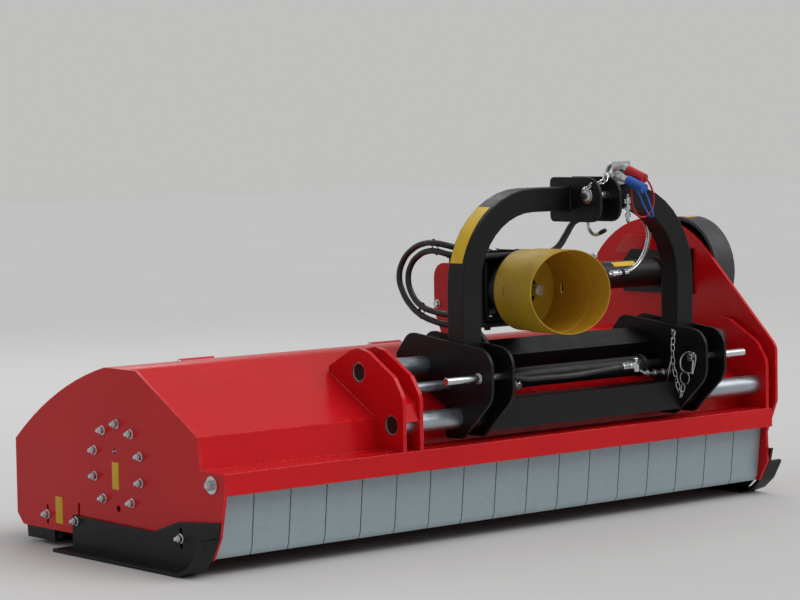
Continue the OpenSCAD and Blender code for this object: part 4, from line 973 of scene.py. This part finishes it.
def headstock_welds():
    """Welds of the top link plates round the arch, and of the clevis plates up the legs."""
    beads = []
    for x in (head_x - TOP_PLATE_OUT, head_x + TOP_PLATE_OUT):
        beads += [bead([(x, y, z) for y in ARCH_WELD_ENDS], WELD_D) for z in ARCH_WELD_LEVELS]
        beads.append(bead([(x, ARCH_FRONT, z) for z in ARCH_FRONT_WELD], WELD_D))
    for out in (-LEG_OUTER, -LEG_INNER, LEG_INNER, LEG_OUTER):
        x = head_x + out
        beads += [bead([(x, y, LEG_WELD_FOOT), (x, y, top)], LEG_WELD_D) for y, top in LEG_WELDS]
    dress(joined(beads), "headstock_welds", "headstock", black, WELD_SMOOTH)


# Nipples and fittings
NIPPLE_OUT = (LEG_INNER + LEG_OUTER) / 2
SLEEVE_NIPPLE = (195, 540)
BEARING_NIPPLE = (-1, 516, 303)
NUT_ROW, NUT_ROW_LINE = (278, 314, 350, 378), (48, 428)
PIPE_D = 11
PIPE_ROUTE = [(232, 48, 450), (256, 48, 440), (278, 48, 430), (306, 48, 428), (346, 48, 428), (390, 48, 428)]
PIPE_ELBOW = (head_x + 240, 49, 449)
NEAR_PLUG, NEAR_PLUG_AXIS = (head_x - 242, 64, 437.5), (0, -0.9, -0.43)
RISER = (head_x + 181, 17, 908)
LEAD_D = 10
LEAD_ROUTE = [(181, 17, 912), (184, 20, 899), (204, 40, 897), (240, 82, 912), (270, 105, 934)]
RISER_CLIP, RISER_CLIP_PLACE, RISER_CLIP_EDGE = (26, 14, 14), (head_x + 181, 23, 956), 1.5
BREATHER = (1763, DRIVE[0], 749)


def nipple():
    """A grease nipple on its hexagon."""
    base = turned([(4.2, 0), (5.1, 0.6), (5.1, 4.4), (4.4, 5)], HEX)
    stem = turned([(3.4, 5), (3.4, 8), (2.2, 9), (2.0, 10.4), (3.0, 11.6), (3.2, 12.6), (2.6, 14),
                   (1.0, 14.8)], sides=16)
    return joined([base, stem])


def nipples():
    """Grease nipples on the sleeves and beside the rotor's bearing."""
    on_sleeves = [at((head_x + side * NIPPLE_OUT, *SLEEVE_NIPPLE)) for side in (-1, 1)]
    dress(copies(nipple(), on_sleeves), "sleeve_nipples", "headstock", zinc)
    dress(stood(nipple(), BEARING_NIPPLE, LEFT), "bearing_nipple", "deck", zinc)


def far_end_pipe():
    """The pipe at the cylinder's far end, with its row of nuts, its elbow and the screw on that."""
    nut = turned([(9.6, 0), (11, 1), (11, 11), (9.6, 12)], HEX)
    nut_xs = [head_x + x for x in NUT_ROW]
    row = copies(nut, [at((x, *NUT_ROW_LINE), RIGHT, HEAD_TURN * x) for x in nut_xs])
    pipe = wire(moved(PIPE_ROUTE, head_x), PIPE_D)
    elbow = turned([(9, -13), (12, -11), (12.5, 0), (12, 11), (9, 13)], sides=20)
    screw = turned([(6, 12), (6, 20), (8.6, 21), (8.6, 28), (7, 29.5)], HEX)
    return [row, pipe, stood(elbow, PIPE_ELBOW), stood(screw, PIPE_ELBOW)]


def coupler_riser():
    """The stack of fittings below the blue coupler, its lead to the guide rod and its clip."""
    riser = turned([(6, 0), (9, 1), (9, 12), (6, 13), (6, 22), (10.5, 23), (10.5, 36), (6, 37), (6, 46),
                    (9, 47), (9, 60), (5, 62), (4, 69)], HEX)
    lead = wire(moved(LEAD_ROUTE, head_x), LEAD_D)
    clip = plate(RISER_CLIP, RISER_CLIP_PLACE, RISER_CLIP_EDGE)
    return [stood(riser, RISER), lead, clip]


def cylinder_fittings():
    """The pipe at the cylinder's far end, the plug at its near end and the riser."""
    plug = turned([(8, 0), (9, 1), (9, 6), (14.2, 6.4), (14.2, 8.6), (11.8, 9), (12.4, 10), (12.4, 17),
                   (10.8, 18.6)])
    fittings = far_end_pipe() + [stood(plug, NEAR_PLUG, NEAR_PLUG_AXIS)] + coupler_riser()
    dress(joined(fittings), "cylinder_fittings", "headstock", zinc)


def tube_breather():
    """The hexagon and the cap of the drive tube's breather."""
    base = turned([(12, -3), (13.4, -2), (13.4, 8), (11.6, 9.4)], HEX)
    cap = turned([(8, 9), (8, 13), (12.4, 14), (12.8, 15), (12.8, 25), (11.4, 28), (5, 29)])
    fitting = stood(joined([base, cap]), BREATHER)
    dress(fitting, "tube_breather", "deck", zinc)


# Belt wall and gearbox
WEDGE, WEDGE_EDGE, WEDGE_PLACE = (46, 228, 62), 1.5, (beam_length - 22, 583, 789)
WEDGE_CUT, WEDGE_LEAN = 94, 40
GUARD_SCREWS = ((DRIVE, 152, (30, 90, 150)), (ROTOR, 127, (210, 270, 330)))
FILLER_Y = 250
LEVEL_PLUG_OUT, LEVEL_PLUG = 66, (195, 640)
RIB_EDGE = 2.5
FRONT_RIB, FRONT_RIB_OUT, FRONT_RIB_LINE = (9, 14, 172), 84, (190, 702)
TOP_RIB, TOP_RIB_OUT, TOP_RIB_LINE = (9, 149, 10), 30, (270, 815)


def tension_block():
    """The red wedge over the slide plate: it leans out at its top and is cut aslant at its back end."""
    wedge = block(WEDGE)
    edit(wedge)
    shift(wedge, lambda co: co.y > 0 and co.z > 0, y=-WEDGE_CUT)
    shift(wedge, lambda co: co.x < 0 and co.z < 0, x=WEDGE_LEAN)
    round_edges(wedge, WEDGE_EDGE)
    wedge.data.transform(Matrix.Translation(spot(*WEDGE_PLACE)))
    dress(wedge, "tension_block", "deck", red)


def guard_screws():
    """Dished screws round the outer face of the belt guard."""
    screw = turned([(11, -0.5), (11.6, 0.4), (11.6, 1.4), (9, 3.6), (5, 4.6), (3.4, 4.6), (3, 2.4)])
    face = x_of(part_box("belt_guard")[1])
    places = []
    for centre, radius, angles in GUARD_SCREWS:
        places += [at((face, *on_ring(centre, radius, angle)), RIGHT) for angle in angles]
    dress(copies(screw, places), "guard_screws", "deck", zinc)


def gearbox_plugs():
    """The filler plug on top of the gearbox and two level plugs on its front."""
    seal = turned([(14.5, 0), (15.5, 0.6), (15.5, 2), (14.6, 2.6)], sides=28)
    plug = turned([(10, 2.4), (12, 3.2), (12, 11), (10.8, 12.4), (7, 12.4), (6, 11.4)], HEX)
    places = [at((gearbox_x, FILLER_Y, BOX_TOP))]
    places += [at((gearbox_x + side * LEVEL_PLUG_OUT, *LEVEL_PLUG), FRONT) for side in (-1, 1)]
    dress(copies(joined([seal, plug]), places), "gearbox_plugs", "deck", zinc)


def gearbox_ribs():
    """Two ribs up the gearbox's front and two along its top."""
    front = [plate(FRONT_RIB, (gearbox_x + side * FRONT_RIB_OUT, *FRONT_RIB_LINE), RIB_EDGE)
             for side in (-1, 1)]
    top = [plate(TOP_RIB, (gearbox_x + side * TOP_RIB_OUT, *TOP_RIB_LINE), RIB_EDGE) for side in (-1, 1)]
    dress(joined(front + top), "gearbox_ribs", "deck", cast_black)


# Plain strips; each span on a curved face is its middle and half its length
STRIP_T, STRIP_EDGE, FILM_T = 0.6, 0.25, 0.8
PLATE_STRIPS = (((32, 76), (515, 234)), ((36, 77), (810, 108)))
ARCH_BEND, ARCH_STRIP_R = (head_x - 190, 726), 280.3
ARCH_STRIP_ANGLES, ARCH_STRIP_YS = (145, -20), (66, 26)
TUBE_STRIP_R, TUBE_STRIP_XS, TUBE_STRIP_ANGLES = 44.2, (1870, 50), (126, 14)
GUARD_STRIP_R, GUARD_STRIP_XS, GUARD_STRIP_ANGLES = 175.2, (beam_length + 54, 24), (92, 7)


def within(span, share):
    """The point of a span at a share of its half length, from -1 to 1."""
    middle, half = span
    return middle + half * share


def film(place_of):
    """A thin film laid where place_of puts each of its points, from -1 to 1 along and across."""
    let_go()
    bpy.ops.mesh.primitive_grid_add(x_subdivisions=24, y_subdivisions=6, size=2)
    piece = bpy.context.active_object
    edit(piece)
    mesh = bmesh.from_edit_mesh(piece.data)
    for vert in mesh.verts:
        vert.co = spot(*place_of(vert.co.x, vert.co.y))
    bmesh.update_edit_mesh(piece.data)
    let_go()
    thick = piece.modifiers.new("thickness", "SOLIDIFY")
    thick.thickness = FILM_T * MM
    thick.offset = 0
    grasp(piece)
    bpy.ops.object.modifier_apply(modifier="thickness")
    return piece


def left_plate_strips():
    strip_x = left_face - STRIP_T / 2
    marks = [plate((STRIP_T, *size), (strip_x, *place), STRIP_EDGE) for size, place in PLATE_STRIPS]
    dress(joined(marks), "left_plate_strips", "deck", strip_yellow)


def on_arch(u, v):
    x, z = on_ring(ARCH_BEND, ARCH_STRIP_R, within(ARCH_STRIP_ANGLES, u))
    return x, within(ARCH_STRIP_YS, v), z


def on_tube(u, v):
    return within(TUBE_STRIP_XS, u), *on_ring(DRIVE, TUBE_STRIP_R, within(TUBE_STRIP_ANGLES, v))


def on_guard(u, v):
    return within(GUARD_STRIP_XS, v), *on_ring(DRIVE, GUARD_STRIP_R, within(GUARD_STRIP_ANGLES, u))


def curved_strips():
    """Strips round the arch's left bend, on the drive tube and on the guard."""
    dress(film(on_arch), "arch_strip", "headstock", strip_yellow)
    marks = joined([film(on_tube), film(on_guard)])
    dress(marks, "tube_and_guard_strips", "deck", strip_yellow)


# Stage
FLOOR_SIZE, FLOOR_COLOUR = 60, (0.565, 0.56, 0.55)
KEY_PLACE, KEY_FROM, KEY_POWER, KEY_ANGLE = (0, 0, 6), (0.45, -0.62, 0.9), 1.75, 55
RIM_PLACE, RIM_TARGET, RIM_POWER, RIM_SIZE = (1.5, 5.0, 4.5), (0, 0, 0.5), 60, 4.0
SKY, SKY_STRENGTH = (0.95, 0.98, 1.0), 0.55
BACKDROP = (0.53, 0.525, 0.52)


def floor_finish():
    finish, tree = new_finish("pale_floor", FLOOR_COLOUR, 0.8, specular=0.15)
    shade = darker(FLOOR_COLOUR, 0.975)
    paint(tree, clouded(tree, FLOOR_COLOUR, shade, scale=1.2, detail=4.0, part=BLEND))
    return finish


def pale_floor():
    let_go()
    bpy.ops.mesh.primitive_plane_add(size=FLOOR_SIZE)
    floor = bpy.context.active_object
    floor.name = floor.data.name = "floor"
    floor.data.materials.append(floor_finish())


def lamp(name, kind, place, direction, power):
    bpy.ops.object.light_add(type=kind, location=place)
    light = bpy.context.active_object
    light.name = name
    light.data.energy = power
    light.rotation_mode = "QUATERNION"
    light.rotation_quaternion = direction.to_track_quat("-Z", "Y")
    return light.data


def lights():
    key = lamp("key", "SUN", KEY_PLACE, -Vector(KEY_FROM), KEY_POWER)
    key.angle = math.radians(KEY_ANGLE)
    rim = lamp("rim", "AREA", RIM_PLACE, Vector(RIM_TARGET) - Vector(RIM_PLACE), RIM_POWER)
    rim.shape = "DISK"
    rim.size = RIM_SIZE


def surroundings():
    """A pale sky that lights the part, and a plain backdrop where the camera or a shiny face looks."""
    world = bpy.data.worlds.new("studio")
    bpy.context.scene.world = world
    world.use_nodes = True
    tree = world.node_tree
    sky = tree.nodes["Background"]
    sky.inputs["Color"].default_value = (*SKY, 1)
    sky.inputs["Strength"].default_value = SKY_STRENGTH
    backdrop = tree.nodes.new("ShaderNodeBackground")
    backdrop.inputs["Color"].default_value = (*BACKDROP, 1)
    rays = tree.nodes.new("ShaderNodeLightPath")
    seen = rays.outputs["Is Camera Ray"]
    for kind in ("Is Glossy Ray", "Is Transmission Ray"):
        seen = combined(tree, "MAXIMUM", seen, rays.outputs[kind])
    choice = tree.nodes.new("ShaderNodeMixShader")
    tree.links.new(seen, choice.inputs["Fac"])
    tree.links.new(sky.outputs["Background"], choice.inputs[1])
    tree.links.new(backdrop.outputs["Background"], choice.inputs[2])
    tree.links.new(choice.outputs["Shader"], tree.nodes["World Output"].inputs["Surface"])


let_go()
aim_camera()
hoses()
pale_floor()
lights()
surroundings()
finish_solids()
hose_ends()
hose_ties()
hook_and_guide()
deck_nuts()
gearbox_bolts()
flap_rod_nut()
bar_plugs()
linch_chains()
cap_straps()
coupler_rings()
deck_welds()
headstock_welds()
nipples()
cylinder_fittings()
tube_breather()
tension_block()
guard_screws()
gearbox_plugs()
gearbox_ribs()
left_plate_strips()
curved_strips()
